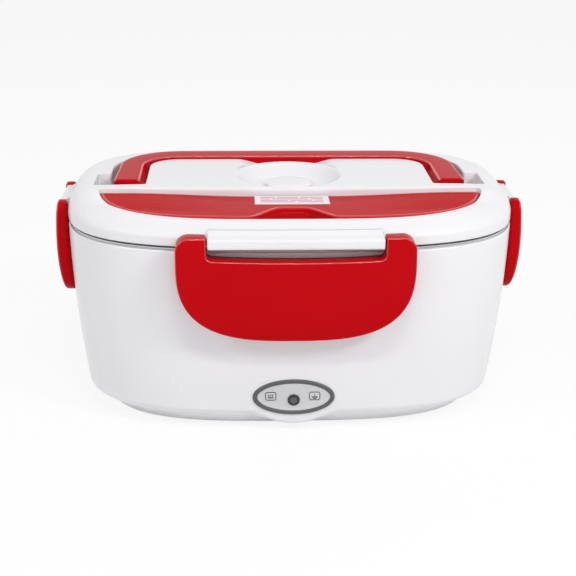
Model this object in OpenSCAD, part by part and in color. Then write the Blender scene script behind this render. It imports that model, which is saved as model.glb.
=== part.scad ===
// Electric lunch box: a removable steel container in a heated plastic base,
// under a lift-off lid held by four snap latches. Units are millimetres.
// X runs along the length, Y from front to back, Z up. Z = 0 is the table.

/* [Body] */
// Length of the body at the rim
rim_l = 228.2; // [200:1:260]
// Depth of the body at the rim
rim_d = 162.4; // [145:1:190]
// Squareness of the rounded outline
outline_n = 3.1; // [2.6:0.1:3.8]
// Height of the rim of the body
rim_z = 97; // [90:1:110]
// Height of the parting line between shell and bottom cover
edge_z = 8.5; // [7:0.5:11]
// Straight draft of the side walls in degrees
wall_draft = 1.2; // [0.8:0.1:2]
// Radius of the outward bow of the side walls
wall_bow = 650; // [500:10:900]
// Wall thickness of the outer shell
shell_wall = 2.4; // [2:0.1:2.8]
// Height of the rounded bottom corner of the shell
corner_h = 5; // [4:0.5:7]
// Depth of the rounded bottom corner of the shell
corner_in = 6.2; // [5:0.2:8]

/* [Container and well] */
// Height of the underside of the container
liner_z = 36.3; // [34:0.5:45]
// Sheet thickness of the container
liner_t = 0.8; // [0.6:0.1:1.2]
// Distance from the rim outline to the container wall
liner_in = 7; // [6.8:0.1:9]
// Radius of the bottom corner of the container
liner_r = 10; // [8:1:14]
// Wall thickness of the inner well
well_wall = 1.8; // [1.5:0.1:2]

/* [Lid] */
// Height of the lid from its skirt edge to its crown
lid_h = 15.8; // [14:0.2:20]
// Height of the straight skirt of the lid
skirt_h = 4.5; // [3:0.5:6]
// Depth of the rounded shoulder of the lid
lid_round = 12; // [9:0.5:14]
// Wall thickness of the lid shell
lid_wall = 2.2; // [1.8:0.1:2.4]
// Half width of the flat band across the crown
crown_flat = 24; // [20:1:30]
// Fall of the deck beyond the flat band, per square millimetre
crown_fall = 0.0012; // [0.0006:0.0001:0.002]
// Step from the crown down to the front shelf
shelf_step = 2.9; // [2:0.1:3.4]

/* [Handle] */
// Length over the arms of the carry handle
handle_l = 179.6; // [160:0.5:184]
// Width of the arms
arm_w = 12.5; // [10:0.5:14]
// Width of the grip bar
grip_w = 13; // [11:0.5:15]
// Back edge of the grip bar
handle_back = 52; // [46:0.5:54]
// Corner radius of the handle outside
handle_r = 32; // [24:1:36]
// Thickness of the handle
handle_t = 5.8; // [5:0.2:6.5]
// Height of the handle above the crown of the lid
handle_proud = 1.2; // [0.6:0.1:2]
// Front end of the arms
arm_front = -14; // [-16:0.5:-12]
// Width of the sloped inner side of the arms
arm_flare = 2.6; // [1:0.1:3]
// Radius of the handle pivots
pivot_r = 2; // [1.6:0.1:2.4]

/* [Spoon cover] */
// Length of the spoon cover between its points
spoon_l = 194; // [180:1:196]
// Depth of the spoon cover from hinge edge to front edge
spoon_d = 38.6; // [34:0.2:40]
// Distance from the front of the rim to the spoon cover
spoon_margin = 15.8; // [14:0.2:18]
// Thickness of the spoon cover
spoon_t = 2.2; // [1.8:0.1:2.6]
// Depth of the spoon compartment below the cover
spoon_depth = 5; // [4.5:0.1:5.2]
// Length of the finger scallop
scallop_l = 42; // [34:1:60]
// Depth of the finger scallop
scallop_d = 14; // [10:0.5:16]

/* [Vent] */
// Radius of the bowl round the vent plug
dish_r = 27.3; // [24:0.1:28]
// Depth of the bowl below the crown
dish_depth = 6.6; // [5:0.2:7]
// Length of the finger scoop between the bowl and the grip
scoop_l = 52; // [40:1:60]
// Depth of the finger scoop
scoop_depth = 3.6; // [2:0.2:4]
// Radius of the vent plug
plug_r = 12.3; // [10:0.1:14]
// Radius of the stem of the vent plug
stem_r = 4; // [3:0.1:5]

/* [Latches] */
// Width of the front and rear latches
latch_w = 112.6; // [100:1:120]
// Width of the two end latches
end_latch_w = 50; // [46:1:60]
// Reach of the front and rear latches beyond the rim
latch_reach = 9; // [8.4:0.1:10]
// Reach of the end latches beyond the rim
end_reach = 5.9; // [5.7:0.1:7]
// Width of the ears of the front and rear latches
ear_w = 14.2; // [12:0.2:16]
// Width of the ears of the end latches
end_ear_w = 9; // [8:0.2:10]
// Height of the lower tip of the latches
latch_z = 54; // [50:0.5:60]
// Height of the widest point of the latches
latch_mid = 86; // [80:1:92]
// Radius of the outward bow of the latches
latch_bow = 120; // [100:5:160]
// Thickness of the outer skin of the latches
latch_skin = 1.7; // [1.5:0.1:1.9]
// Radius of the hinge pins of the latches
latch_pin_r = 1.3; // [1:0.1:1.5]
// Height of the hinge line above the rim
hinge_up = 6.6; // [6:0.1:7.4]

/* [Lamp and inlet] */
// Height of the centre of the lamp panel
lamp_z = 19.9; // [18:0.1:21]
// Length of the lamp panel
lamp_l = 41; // [36:0.5:46]
// Height of the lamp panel
lamp_h = 19; // [16:0.5:22]
// Radius of the round tips of the lamp panel
lamp_tip = 3.2; // [2.8:0.1:4]
// Radius of the lamp lens
lamp_r = 3; // [2.5:0.1:4]
// Height of the centre of the inlet
inlet_z = 20; // [18:0.5:21]
// Spacing of the two inlet pins
pin_pitch = 8.6; // [8:0.1:10]
// Diameter of the inlet pins
pin_d = 2.4; // [2:0.1:3]
// Radius of the rounded ends of the inlet mouth
mouth_r = 4.2; // [4:0.1:5]
// Depth of the inlet mouth
mouth_depth = 10; // [9:0.5:12]

/* [Bottom] */
// Depth of the bottom cover edge inside the shell edge
cover_in = 0.6; // [0.3:0.1:1.2]
// Slope of the foot band from its top to its bottom edge
band_in = 4.6; // [3:0.2:6]
// Radius of the rubber feet
foot_r = 6; // [5:0.5:8]
// Height of the rubber feet below the bottom cover
foot_h = 0.8; // [0.6:0.1:1.4]
// Distance of the feet from the centre along X
foot_x = 56; // [50:1:60]
// Distance of the cover screws from the centre along X
screw_x = 74; // [70:1:78]
// Distance of feet and cover screws from the centre along Y
screw_y = 42; // [38:1:46]

/* [Hidden] */

// Resolution of the lofted outlines and of round parts
ring_points = 64;
$fn = 32;

// Clearances
gap = 0.3;
run_gap = 0.05;
seat_gap = 0.6;

white = [0.93, 0.93, 0.95];
red = [0.78, 0.06, 0.09];
steel = [0.78, 0.79, 0.8];
grey = [0.35, 0.35, 0.37];

// Levels from the table up
well_lip_z = rim_z + gap;
flange_top = well_lip_z + liner_t;
skirt_z = flange_top + gap;
crown_z = skirt_z + lid_h;
panel_z = skirt_z + 0.5;
panel_t = 2;

// Outlines and lofts
function drop(z) = max(0, rim_z - z);
function taper(z) = drop(z) * tan(wall_draft) + pow(drop(z), 2) / (2 * wall_bow);
function signed_pow(v, p) = sign(v) * pow(abs(v), p);
function outline(inset) = [for (i = [0 : ring_points - 1])
    let (a = 360 * i / ring_points, p = 2 / outline_n)
    [(rim_l / 2 - inset) * signed_pow(cos(a), p), (rim_d / 2 - inset) * signed_pow(sin(a), p)]];
function ring(inset, z) = [for (p = outline(inset)) [p.x, p.y, z]];
function wall_ring(inset, z) = ring(inset + taper(z), z);
function quads(n, low, high) = [for (i = [0 : n - 1]) let (j = (i + 1) % n)
    each [[low * n + i, high * n + i, high * n + j], [low * n + i, high * n + j, low * n + j]]];
function arc(x, y, r, from, to, steps = 8) =
    [for (i = [0 : steps]) let (a = from + (to - from) * i / steps) [x + r * cos(a), y + r * sin(a)]];
function mirrored(points) = [for (i = [len(points) - 1 : -1 : 0]) [-points[i].x, points[i].y]];

// Solid between a first and a last flat ring
module loft(rings) {
    n = len(rings[0]);
    last = len(rings) - 1;
    caps = [[for (i = [0 : n - 1]) i], [for (i = [n - 1 : -1 : 0]) last * n + i]];
    sides = [for (k = [0 : last - 1]) each quads(n, k, k + 1)];
    polyhedron([for (r = rings) each r], concat(caps, sides), convexity = 8);
}

// Solid whose rings close on themselves, such as a wall open at both ends
module loft_loop(rings) {
    n = len(rings[0]);
    count = len(rings);
    sides = [for (k = [0 : count - 1]) each quads(n, k, (k + 1) % count)];
    polyhedron([for (r = rings) each r], sides, convexity = 8);
}

// Oval between two equal arcs, with a small round tip at each end that touches both arcs
module lens(l, h, tip) {
    x = l / 2 - tip;
    r = (x * x + h * h / 4 - tip * tip) / (h - 2 * tip);
    touch = x * r / (r - tip);
    intersection() {
        translate([0, r - h / 2]) circle(r, $fn = 96);
        translate([0, h / 2 - r]) circle(r, $fn = 96);
        square([2 * touch, h], center = true);
    }
    for (side = [-1, 1])
        translate([side * x, 0]) circle(tip);
}

module slot(l, r) {
    translate([-l / 2, 0]) circle(r);
    translate([l / 2, 0]) circle(r);
    square([l, 2 * r], center = true);
}

module rounded(w, d, r) {
    square([w - 2 * r, d], center = true);
    square([w, d - 2 * r], center = true);
    for (x = [-1, 1], y = [-1, 1])
        translate([x * (w / 2 - r), y * (d / 2 - r)]) circle(r);
}

module at_corners(x, y) {
    for (i = [-1, 1], j = [-1, 1])
        translate([i * x, j * y, 0]) children();
}

// Places children on one side of the body, with Y pointing outwards from the rim
module on_side(side) {
    turn = side == "front" ? 180 : side == "rear" ? 0 : side == "left" ? 90 : -90;
    out = side == "front" || side == "rear" ? rim_d / 2 : rim_l / 2;
    rotate([0, 0, turn]) translate([0, out, 0]) children();
}

// Sizes of the shell
shell_foot = edge_z + corner_h;
opening_in = taper(shell_foot) + corner_in;
rim_step_w = 1.2;
rim_step_h = 1.5;
mid_z = 64;
low_z = 30;
flange_in = 0.8;
catch_z = 85.8;
catch_h = 3.4;
catch_edge = 1.2;
catch_share = 0.27;
hook_share = 0.5;

// Lamp panel: tilt of the wall there, and the parts set into it
lamp_tilt = atan(tan(wall_draft) + drop(lamp_z) / wall_bow);
lamp_proud = 0.3;
boss_l = 70;
boss_h = 32;
bezel_t = 1.6;
bezel_rim = 2.1;
plate_t = 0.8;
board_gap = 3.3;
board_t = 1.6;
board_w = 32;
board_h = 12;
peg_x = 12;
peg_r = 1.4;
led_r = 2.4;
lens_down = 1.6;
lens_depth = 4;
inner_face = rim_d / 2 - opening_in;
board_y = board_gap - inner_face;

// Inlet
pad_w = 36;
pad_h = 20;
pad_r = 4;
pad_y = rim_d / 2 - taper(inlet_z + pad_h / 2);
socket_w = 25;
socket_h = 14;
socket_depth = 18;
socket_flange = 1.2;
socket_r = 2;
socket_lip = 2;
pin_short = 1.5;
pin_collar = 0.2;
tail = 4;

// Well and the heater under it
well_in = liner_in - seat_gap;
well_out = well_in - well_wall;
plate_top = liner_z - gap;
heat_t = 1.3;
seal_t = 0.8;
well_floor = plate_top - heat_t - seal_t;
plate_in = 26;
opening_edge = 33;
heat_under = plate_top - heat_t;
pillar_r = 4;
ptc = [60, 22, 6];
clamp_t = 1.2;
clamp_w = 14;
clamp_foot = 9;
clamp_screw_r = 1.5;
clamp_head = [2.8, 2];
thermostat_x = 62;
thermostat_r = 8;
thermostat_h = 9;
thermostat_cap_h = 3;
blade = [4.8, 0.8, 6];
blade_y = 4;
fuse_x = -58;
fuse_r = 2;
fuse_l = 13;
lead_r = 0.6;
lead_l = 31;
fuse_clip = [6, 6, 2.4];

// Bottom cover and its screws
cover_t = 2.2;
cover_edge_in = opening_in + cover_in;
cover_fillet = 1.5;
screw_boss_h = 4.2;
screw_r = 1.45;
screw_head_r = 3;
screw_head_h = 2;
screw_len = 14;
cross = [4, 0.7, 1];
foot_sink = 1.4;

module on_lamp() {
    translate([0, taper(lamp_z) - rim_d / 2, lamp_z]) rotate([90 + lamp_tilt, 0, 0]) children();
}

module on_inlet() {
    translate([0, pad_y, inlet_z]) rotate([90, 0, 180]) children();
}

function corner_ring(wall, a) = ring(
    taper(shell_foot) + corner_in * (1 - cos(a)) + wall * cos(a),
    edge_z + corner_h * (1 - sin(a)) + wall * sin(a));

module shell_wall_loft() {
    loft_loop(concat(
        [for (a = [90 : -30 : 0]) corner_ring(0, a)],
        [wall_ring(0, low_z), wall_ring(0, mid_z), ring(0, rim_z)],
        [ring(rim_step_w, rim_z), ring(rim_step_w, rim_z - rim_step_h), ring(shell_wall, rim_z - rim_step_h)],
        [wall_ring(shell_wall, mid_z), wall_ring(shell_wall, low_z)],
        [for (a = [0 : 30 : 90]) corner_ring(shell_wall, a)]));
}

// Ledge under which one latch hooks
module catch_rib(w, reach) {
    profile = [[-rim_step_w, catch_z], [reach, catch_z], [reach, catch_z + catch_edge],
        [-rim_step_w, catch_z + catch_h]];
    translate([-w / 2, 0, 0]) rotate([90, 0, 90]) linear_extrude(w) polygon(profile);
}

// Thick part of the wall round the lamp panel; it stays below the well
module lamp_boss() {
    boss_top = well_floor - well_wall - gap;
    intersection() {
        on_lamp() translate([0, 0, -12]) linear_extrude(12 + lamp_proud) lens(boss_l, boss_h, lamp_tip);
        translate([-boss_l / 2, -inner_face - 20, 0]) cube([boss_l, 20, boss_top]);
    }
    for (x = [-peg_x, peg_x])
        translate([x, -inner_face - 1, lamp_z]) rotate([-90, 0, 0]) cylinder(board_gap + 1, r = peg_r);
}

module base_shell() color(white) difference() {
    union() {
        shell_wall_loft();
        lamp_boss();
        on_inlet() translate([0, 0, -8]) linear_extrude(8) rounded(pad_w, pad_h, pad_r);
        for (side = ["front", "rear"])
            on_side(side) catch_rib(latch_w * hook_share, latch_reach * catch_share);
        for (side = ["left", "right"])
            on_side(side) catch_rib(end_latch_w * hook_share, end_reach * catch_share);
    }
    on_lamp() translate([0, 0, lamp_proud - bezel_t])
        linear_extrude(bezel_t + 5) lens(lamp_l + gap, lamp_h + gap, lamp_tip + gap / 2);
    on_lamp() translate([0, -lens_down, -15]) cylinder(16, r = lamp_r + run_gap);
    on_inlet() translate([0, 0, -10]) linear_extrude(12) rounded(socket_w + gap, socket_h + gap, socket_r);
}

function well_corner(inset, z, r, a) = ring(inset + taper(z + r) + r * (1 - cos(a)), z + r * (1 - sin(a)));

module inner_bucket() color(white) difference() {
    union() {
        loft_loop(concat(
            [ring(opening_edge, well_floor - well_wall)],
            [for (a = [90 : -30 : 0]) well_corner(well_out, well_floor - well_wall, liner_r + well_wall, a)],
            [wall_ring(well_out, mid_z), ring(well_out, rim_z - rim_step_h)],
            [ring(rim_step_w + gap, rim_z - rim_step_h), ring(rim_step_w + gap, well_lip_z)],
            [ring(well_in, well_lip_z), wall_ring(well_in, mid_z)],
            [for (a = [0 : 30 : 90]) well_corner(well_in, well_floor, liner_r, a)],
            [ring(opening_edge, well_floor)]));
        at_corners(screw_x, screw_y) translate([0, 0, foot_h + screw_boss_h])
            cylinder(well_floor - well_wall / 2 - foot_h - screw_boss_h, r = pillar_r);
    }
    at_corners(screw_x, screw_y) translate([0, 0, foot_h + screw_boss_h - 1])
        cylinder(screw_len, r = screw_r + run_gap);
}

module heating_plate() color([0.72, 0.73, 0.75]) difference() {
    translate([0, 0, heat_under]) linear_extrude(heat_t) polygon(outline(plate_in));
    for (x = [-1, 1])
        translate([x * (ptc.x / 2 + clamp_t + clamp_foot / 2), 0, heat_under - 1])
            cylinder(heat_t + 2, r = clamp_screw_r + run_gap);
}

module plate_seal() color([0.85, 0.45, 0.3])
    translate([0, 0, well_floor]) linear_extrude(seal_t) difference() {
        polygon(outline(plate_in + 1));
        polygon(outline(opening_edge - 1));
    }

module ptc_heater() color([0.8, 0.8, 0.82])
    translate([-ptc.x / 2, -ptc.y / 2, heat_under - ptc.z]) cube(ptc);

// Hat-shaped strap that presses the heater against the plate
module heater_clamp() color(steel) {
    half = ptc.x / 2 + clamp_t;
    low = heat_under - ptc.z - clamp_t;
    right = [[half + clamp_foot, heat_under - clamp_t], [half + clamp_foot, heat_under],
        [half - clamp_t, heat_under], [half - clamp_t, low + clamp_t]];
    under = [[half, low], [half, heat_under - clamp_t]];
    profile = concat(right, mirrored(right), [for (p = mirrored(under)) p], under);
    difference() {
        translate([0, clamp_w / 2, 0]) rotate([90, 0, 0]) linear_extrude(clamp_w) polygon(profile);
        for (x = [-1, 1])
            translate([x * (half + clamp_foot / 2), 0, low]) cylinder(ptc.z + 5, r = clamp_screw_r + run_gap);
    }
}

module clamp_screws() color(steel) for (x = [-1, 1])
    translate([x * (ptc.x / 2 + clamp_t + clamp_foot / 2), 0, heat_under - clamp_t]) {
        cylinder(heat_t + clamp_t, r = clamp_screw_r);
        translate([0, 0, -clamp_head.y]) cylinder(clamp_head.y, r = clamp_head.x);
    }

// Snap-disc thermostat: its metal cap against the plate, its base and two blades below
module thermostat() color([0.2, 0.2, 0.22]) translate([thermostat_x, 0, heat_under]) {
    translate([0, 0, -thermostat_cap_h]) cylinder(thermostat_cap_h, r = thermostat_r);
    translate([0, 0, -thermostat_h]) cylinder(thermostat_h - thermostat_cap_h, r = thermostat_r - 0.8);
    for (y = [-blade_y, blade_y])
        translate([-blade.x / 2, y - blade.y / 2, -thermostat_h - blade.z]) cube(blade);
}

// Fuse tube in its clip, with a lead at each end
module thermal_fuse() color([0.75, 0.72, 0.6]) translate([fuse_x, 0, heat_under - fuse_clip.z]) {
    rotate([90, 0, 0]) cylinder(fuse_l, r = fuse_r, center = true);
    rotate([90, 0, 0]) cylinder(lead_l, r = lead_r, center = true);
    translate([-fuse_clip.x / 2, -fuse_clip.y / 2, 0]) cube(fuse_clip);
}

module led_board() color([0.1, 0.4, 0.2])
    translate([-board_w / 2, board_y, lamp_z - board_h / 2 - lens_down]) cube([board_w, board_t, board_h]);

// Small round lamp standing on its board, inside the bore of the boss
module indicator_led() color([0.8, 0.2, 0.1]) {
    reach = 4;
    translate([0, board_y, lamp_z - lens_down]) rotate([90, 0, 0]) {
        cylinder(1, r = led_r);
        cylinder(reach - led_r * 0.75, r = led_r * 0.75);
        translate([0, 0, reach - led_r * 0.75]) sphere(led_r * 0.75);
    }
}

module lamp_bezel() color(grey) on_lamp() translate([0, 0, lamp_proud - bezel_t]) difference() {
    linear_extrude(bezel_t + 0.3) lens(lamp_l, lamp_h, lamp_tip);
    translate([0, 0, bezel_t - plate_t])
        linear_extrude(plate_t + 1)
            lens(lamp_l - 2 * bezel_rim, lamp_h - 2 * bezel_rim, lamp_tip - bezel_rim);
    translate([0, -lens_down, -1]) cylinder(bezel_t + 2, r = lamp_r + run_gap);
}

module lamp_plate() color([0.78, 0.78, 0.8]) on_lamp() translate([0, 0, lamp_proud - plate_t]) difference() {
    linear_extrude(plate_t - 0.2)
        lens(lamp_l - 2 * bezel_rim - gap, lamp_h - 2 * bezel_rim - gap, lamp_tip - bezel_rim - gap / 2);
    translate([0, -lens_down, -1]) cylinder(plate_t + 2, r = lamp_r + run_gap);
}

module lamp_lens() color([0.12, 0.12, 0.13]) on_lamp() translate([0, -lens_down, -lens_depth]) {
    edge = 0.4;
    h = lens_depth + lamp_proud + edge;
    cylinder(h, r = lamp_r);
    translate([0, 0, h]) cylinder(edge, r1 = lamp_r, r2 = lamp_r - 1.5 * edge);
}

module inlet_socket() color([0.15, 0.15, 0.16]) on_inlet() difference() {
    union() {
        linear_extrude(socket_flange)
            rounded(socket_w + 2 * socket_lip, socket_h + 2 * socket_lip, socket_r + 1);
        translate([0, 0, -socket_depth])
            linear_extrude(socket_depth + 0.1) rounded(socket_w, socket_h, socket_r);
    }
    translate([0, 0, socket_flange - mouth_depth]) linear_extrude(mouth_depth + 1) slot(pin_pitch, mouth_r);
    for (x = [-1, 1])
        translate([x * pin_pitch / 2, 0, -socket_depth - 1])
            cylinder(socket_depth, d = pin_d + 2 * (pin_collar + run_gap));
}

module inlet_pins() color([0.8, 0.7, 0.45]) on_inlet() for (x = [-1, 1])
    translate([x * pin_pitch / 2, 0, 0]) {
        floor_z = socket_flange - mouth_depth;
        translate([0, 0, -socket_depth - tail])
            cylinder(socket_depth + tail + floor_z, d = pin_d + 2 * pin_collar);
        translate([0, 0, floor_z]) cylinder(mouth_depth - pin_short, d = pin_d);
    }

module bottom_cover() color([0.88, 0.88, 0.9]) difference() {
    union() {
        loft(concat(
            [for (a = [90 : -45 : 0]) ring(cover_edge_in + band_in + cover_fillet * (1 - cos(a)),
                foot_h + cover_fillet * (1 - sin(a)))],
            [ring(cover_edge_in, edge_z), ring(cover_edge_in, edge_z + cover_t)],
            [ring(cover_edge_in + cover_t, edge_z + cover_t), ring(cover_edge_in + cover_t, edge_z)],
            [ring(cover_edge_in + band_in + cover_t, foot_h + cover_t)]));
        at_corners(screw_x, screw_y) translate([0, 0, foot_h]) cylinder(screw_boss_h, r = pillar_r + 1);
    }
    at_corners(foot_x, screw_y) translate([0, 0, foot_h - 1]) cylinder(foot_sink + 1, r = foot_r + run_gap);
    at_corners(screw_x, screw_y) {
        translate([0, 0, foot_h - 1]) cylinder(screw_boss_h + 2, r = screw_r + 0.2);
        translate([0, 0, foot_h - 1]) cylinder(1 + screw_boss_h - cover_t, r = screw_head_r + 0.2);
    }
}

module cover_screws() color(steel) at_corners(screw_x, screw_y) {
    head_top = foot_h + screw_boss_h - cover_t;
    difference() {
        translate([0, 0, head_top - screw_head_h]) cylinder(screw_head_h, r = screw_head_r);
        for (a = [0, 90])
            rotate([0, 0, a])
                translate([-cross.x / 2, -cross.y / 2, head_top - screw_head_h - 0.1])
                    cube(cross + [0, 0, 0.1]);
    }
    translate([0, 0, head_top]) cylinder(screw_len - 3, r = screw_r);
}

module rubber_feet() color([0.2, 0.2, 0.2])
    at_corners(foot_x, screw_y) cylinder(foot_h + foot_sink, r = foot_r);

module steel_liner() color(steel) loft(concat(
    [for (a = [90 : -30 : 0]) well_corner(liner_in, liner_z, liner_r, a)],
    [wall_ring(liner_in, mid_z), ring(liner_in, well_lip_z)],
    [ring(flange_in, well_lip_z), ring(flange_in, flange_top), ring(liner_in + liner_t, flange_top)],
    [wall_ring(liner_in + liner_t, mid_z)],
    [for (a = [0 : 30 : 90]) well_corner(liner_in + liner_t, liner_z + liner_t, liner_r - liner_t, a)]));

// Sizes of the lid
shoulder_z = skirt_z + skirt_h;
crown_side = 60;
crown_side_fall = 0.0003;
shoulder_steps = 22.5;
deck_inset = [24, 40, rim_d / 2 - crown_flat + 1];
step_flat = 58;
step_end = 94;

// Handle, its channel in the lid and its pivots
handle_top = crown_z + handle_proud;
handle_low = handle_top - handle_t;
arm_in = handle_l / 2 - arm_w;
pivot_y = arm_front + 4;
pivot_z = handle_top - 4.4;
arm_gap = 0.5;
pin_grip = 3.8;
pivot_block = [5, 10];
arm_chamfer = 1.6;
chamfer_steps = 3;
channel_out = 3.8;
channel_in = arm_flare + arm_gap;
channel_front = arm_front - 3.5;
well_back = pivot_y + 8;
pivot_swing = norm([pivot_y - arm_front, handle_top - pivot_z]);
pivot_floor = pivot_z - pivot_swing - seat_gap;
notch_l = 24;
notch_w = 7;
notch_floor = handle_low - 1;
tub = 1.8;
tub_top = crown_z - lid_wall + 0.4;

// Spoon cover, its seat and the compartment under it
spoon_y = spoon_d + spoon_margin - rim_d / 2;
spoon_top = crown_z - 4;
spoon_low = spoon_top - spoon_t;
spoon_bow = 2.4;
spoon_n = 2.4;
spoon_bevel = 1.2;
spoon_steps = 3;
shelf_y = spoon_y + seat_gap;
tab_x = 60;
tab_size = [10, 1.6, 3];
ledge = 3.5;
compartment_z = spoon_low - spoon_depth;
scallop_wall = 1.6;

// Bowl, scoop and vent
dish_y = 2;
dish_z = crown_z - dish_depth;
dish_floor_r = plug_r + 1.5;
dish_curve = 2.4;
ridge_w = 2;
hole_r = stem_r + 1;
vent_lift = 8;
seal_h = 0.9;
plug_t = 2.4;

// Inner panel and gasket
panel_in = lid_wall + gap;
plug_wall_in = 10.4;
gasket_in = liner_in + liner_t + gap;
gasket_z = rim_z - 3.4;
gasket_h = 3;
lip_h = 1.6;

// Latches, about their own hinge lines
hinge_z = rim_z + hinge_up;
ear_back = 1;
ear_top = 2.4;
cut_down = 8.6;
curve_down = 17.6;
flange_w = 2;
latch_edge = [[0, 1.1], [0.4, 0.4], [1.1, 0]];
hook_z = catch_z - gap;
hook_h = 2.3;
bar_gap = 0.4;
bar_back = 1.6;
bar_h = 5.2;
bar_r = 1.5;
bar_root = 7;
bar_rise = 1.3;
latch_pin_len = 4;
function axis_out(reach) = ear_back + (reach - ear_back) * 0.43;

// Height of the deck; step is 0 for the crown and shelf_step for the front shelf, and fades to the ends
function fade(x) =
    let (t = min(1, max(0, (abs(x) - step_flat) / (step_end - step_flat)))) 1 - t * t * (3 - 2 * t);
function deck(p, step) = crown_z - step * fade(p.x) - crown_fall * pow(max(0, abs(p.y) - crown_flat), 2)
    - crown_side_fall * pow(max(0, abs(p.x) - crown_side), 2);
function shoulder_ring(wall, a, step) = [for (p = outline(lid_round * (1 - cos(a)) + wall * cos(a)))
    [p.x, p.y, shoulder_z + (deck(p, step) - shoulder_z) * sin(a) - wall * sin(a)]];
function deck_ring(wall, inset, step) = [for (p = outline(inset)) [p.x, p.y, deck(p, step) - wall]];

// U-shaped outline, open at the front, with round corners at the back
function u_shape(half, back, r, front) = concat([[half, front]], arc(half - r, back - r, r, 0, 90),
    mirrored(concat([[half, front]], arc(half - r, back - r, r, 0, 90))));

module handle_outline(out, in, front) {
    inner = arm_in - in;
    difference() {
        polygon(u_shape(handle_l / 2 + out, handle_back + min(out, 1.5), handle_r + out, front));
        polygon(u_shape(inner, handle_back - grip_w - in * 0.4, handle_r - arm_w - in, front - 1));
    }
}

function rear_edge(x) = spoon_y + spoon_bow * pow(x / (spoon_l / 2), 2);
function front_edge(a) =
    [spoon_l / 2 * signed_pow(cos(a), 2 / spoon_n), spoon_y - spoon_d * pow(sin(a), 2 / spoon_n)];
module spoon_outline() {
    polygon(concat(
        [for (i = [-8 : 8]) let (x = spoon_l / 2 * i / 8) [x, rear_edge(x)]],
        [for (a = [6 : 6 : 174]) front_edge(a)]));
}

// Bite that lets a fingertip under the front edge of the spoon cover
module scallop(grow = 0) {
    half = scallop_l / 2;
    front = spoon_y - spoon_d;
    curve = [for (i = [-8 : 8]) let (x = half * i / 8)
        [x * (half + grow) / half, front + grow + scallop_d * (1 + cos(180 * x / half)) / 2]];
    polygon(concat([[-half - grow, front - 4]], curve, [[half + grow, front - 4]]));
}

module lid_dome(wall, step) {
    loft(concat(
        [ring(wall, skirt_z)],
        [for (a = [0 : shoulder_steps : 90]) shoulder_ring(wall, a, step)],
        [for (d = deck_inset) deck_ring(wall, d, step)]));
}

module lid_skin(step) {
    inner = [for (d = deck_inset) deck_ring(lid_wall, d, step)];
    loft(concat(
        [for (i = [len(inner) - 1 : -1 : 0]) inner[i]],
        [for (a = [90 : -2 * shoulder_steps : 0]) shoulder_ring(lid_wall, a, step)],
        [ring(lid_wall, skirt_z), ring(0, skirt_z)],
        [for (a = [0 : shoulder_steps : 90]) shoulder_ring(0, a, step)],
        [for (d = deck_inset) deck_ring(0, d, step)]));
}

// Crown behind the step, or the shelf in front of it
module lid_part(front) {
    size = [2 * rim_l, 2 * rim_d, 2 * crown_z];
    intersection() {
        lid_skin(front ? shelf_step : 0);
        translate([-rim_l, front ? shelf_y - 2 * rim_d : shelf_y, 0]) cube(size);
    }
}

// Bar that a latch hangs from, with a blind bore in each end
module hinge_bar(w, ear, reach) {
    half = w / 2 - ear - bar_gap;
    out = reach - bar_back;
    low = hinge_z - bar_h / 2;
    high = hinge_z + bar_h / 2;
    profile = concat([[-bar_root, low]], arc(out - bar_r, low + bar_r, bar_r, -90, 0, 4),
        arc(out - bar_r, high - bar_r, bar_r, 0, 70, 4), [[-bar_root, high + bar_rise]]);
    difference() {
        translate([-half, 0, 0]) rotate([90, 0, 90]) linear_extrude(2 * half) polygon(profile);
        for (x = [-half, half])
            translate([x, axis_out(reach), hinge_z]) rotate([0, 90, 0])
                cylinder(2 * latch_pin_len, r = latch_pin_r + run_gap, center = true);
    }
}

module channel(grow, low, high) {
    translate([0, 0, low]) linear_extrude(high - low)
        handle_outline(channel_out + grow, channel_in + grow, channel_front - grow);
}

// Deeper box round each pivot, with the shallow notch beside it
module pivot_boxes(grow, low, notch_low, high) {
    w = handle_l / 2 + channel_out - arm_in + channel_in;
    for (side = [0, 1]) mirror([side, 0, 0]) {
        translate([arm_in - channel_in - grow, channel_front - grow, low])
            cube([w + 2 * grow, well_back - channel_front + 2 * grow, high - low]);
        translate([handle_l / 2, channel_front - grow, notch_low])
            cube([channel_out + notch_w + grow, notch_l + 2 * grow, high - notch_low]);
    }
}

// Bowl with a flat floor round the plug and a side that steepens up to the rim
module dish(grow, low) {
    run = dish_r - dish_floor_r;
    side = [for (i = [0 : 10]) [dish_floor_r + grow + run * i / 10, dish_depth * pow(i / 10, dish_curve)]];
    translate([0, dish_y, low]) rotate_extrude($fn = 96)
        polygon(concat([[0, 0]], side, [[dish_r + grow, 2 * dish_depth], [0, 2 * dish_depth]]));
}

// Finger scoop between the bowl and the grip; a thin ridge stays round the bowl
module scoop(grow) {
    low = crown_z - scoop_depth - grow;
    high = crown_z + 2;
    half = scoop_l / 2 + grow;
    back = handle_back - grip_w;
    difference() {
        translate([0, back, 0]) rotate([90, 0, 0]) linear_extrude(back - dish_y)
            polygon([[-half, crown_z], [-half / 2, low], [half / 2, low], [half, crown_z], [half, high],
                [-half, high]]);
        translate([0, dish_y, 0]) cylinder(2 * crown_z, r = dish_r + ridge_w - grow, $fn = 96);
    }
}

module spoon_pocket(low, high) {
    translate([0, 0, low]) linear_extrude(high - low) offset(delta = seat_gap) spoon_outline();
}

module compartment(grow, low, high) {
    translate([0, 0, low]) linear_extrude(high - low) intersection() {
        offset(delta = seat_gap + grow) spoon_outline();
        union() {
            offset(delta = grow - ledge) spoon_outline();
            scallop(grow + 2);
        }
    }
}

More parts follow.
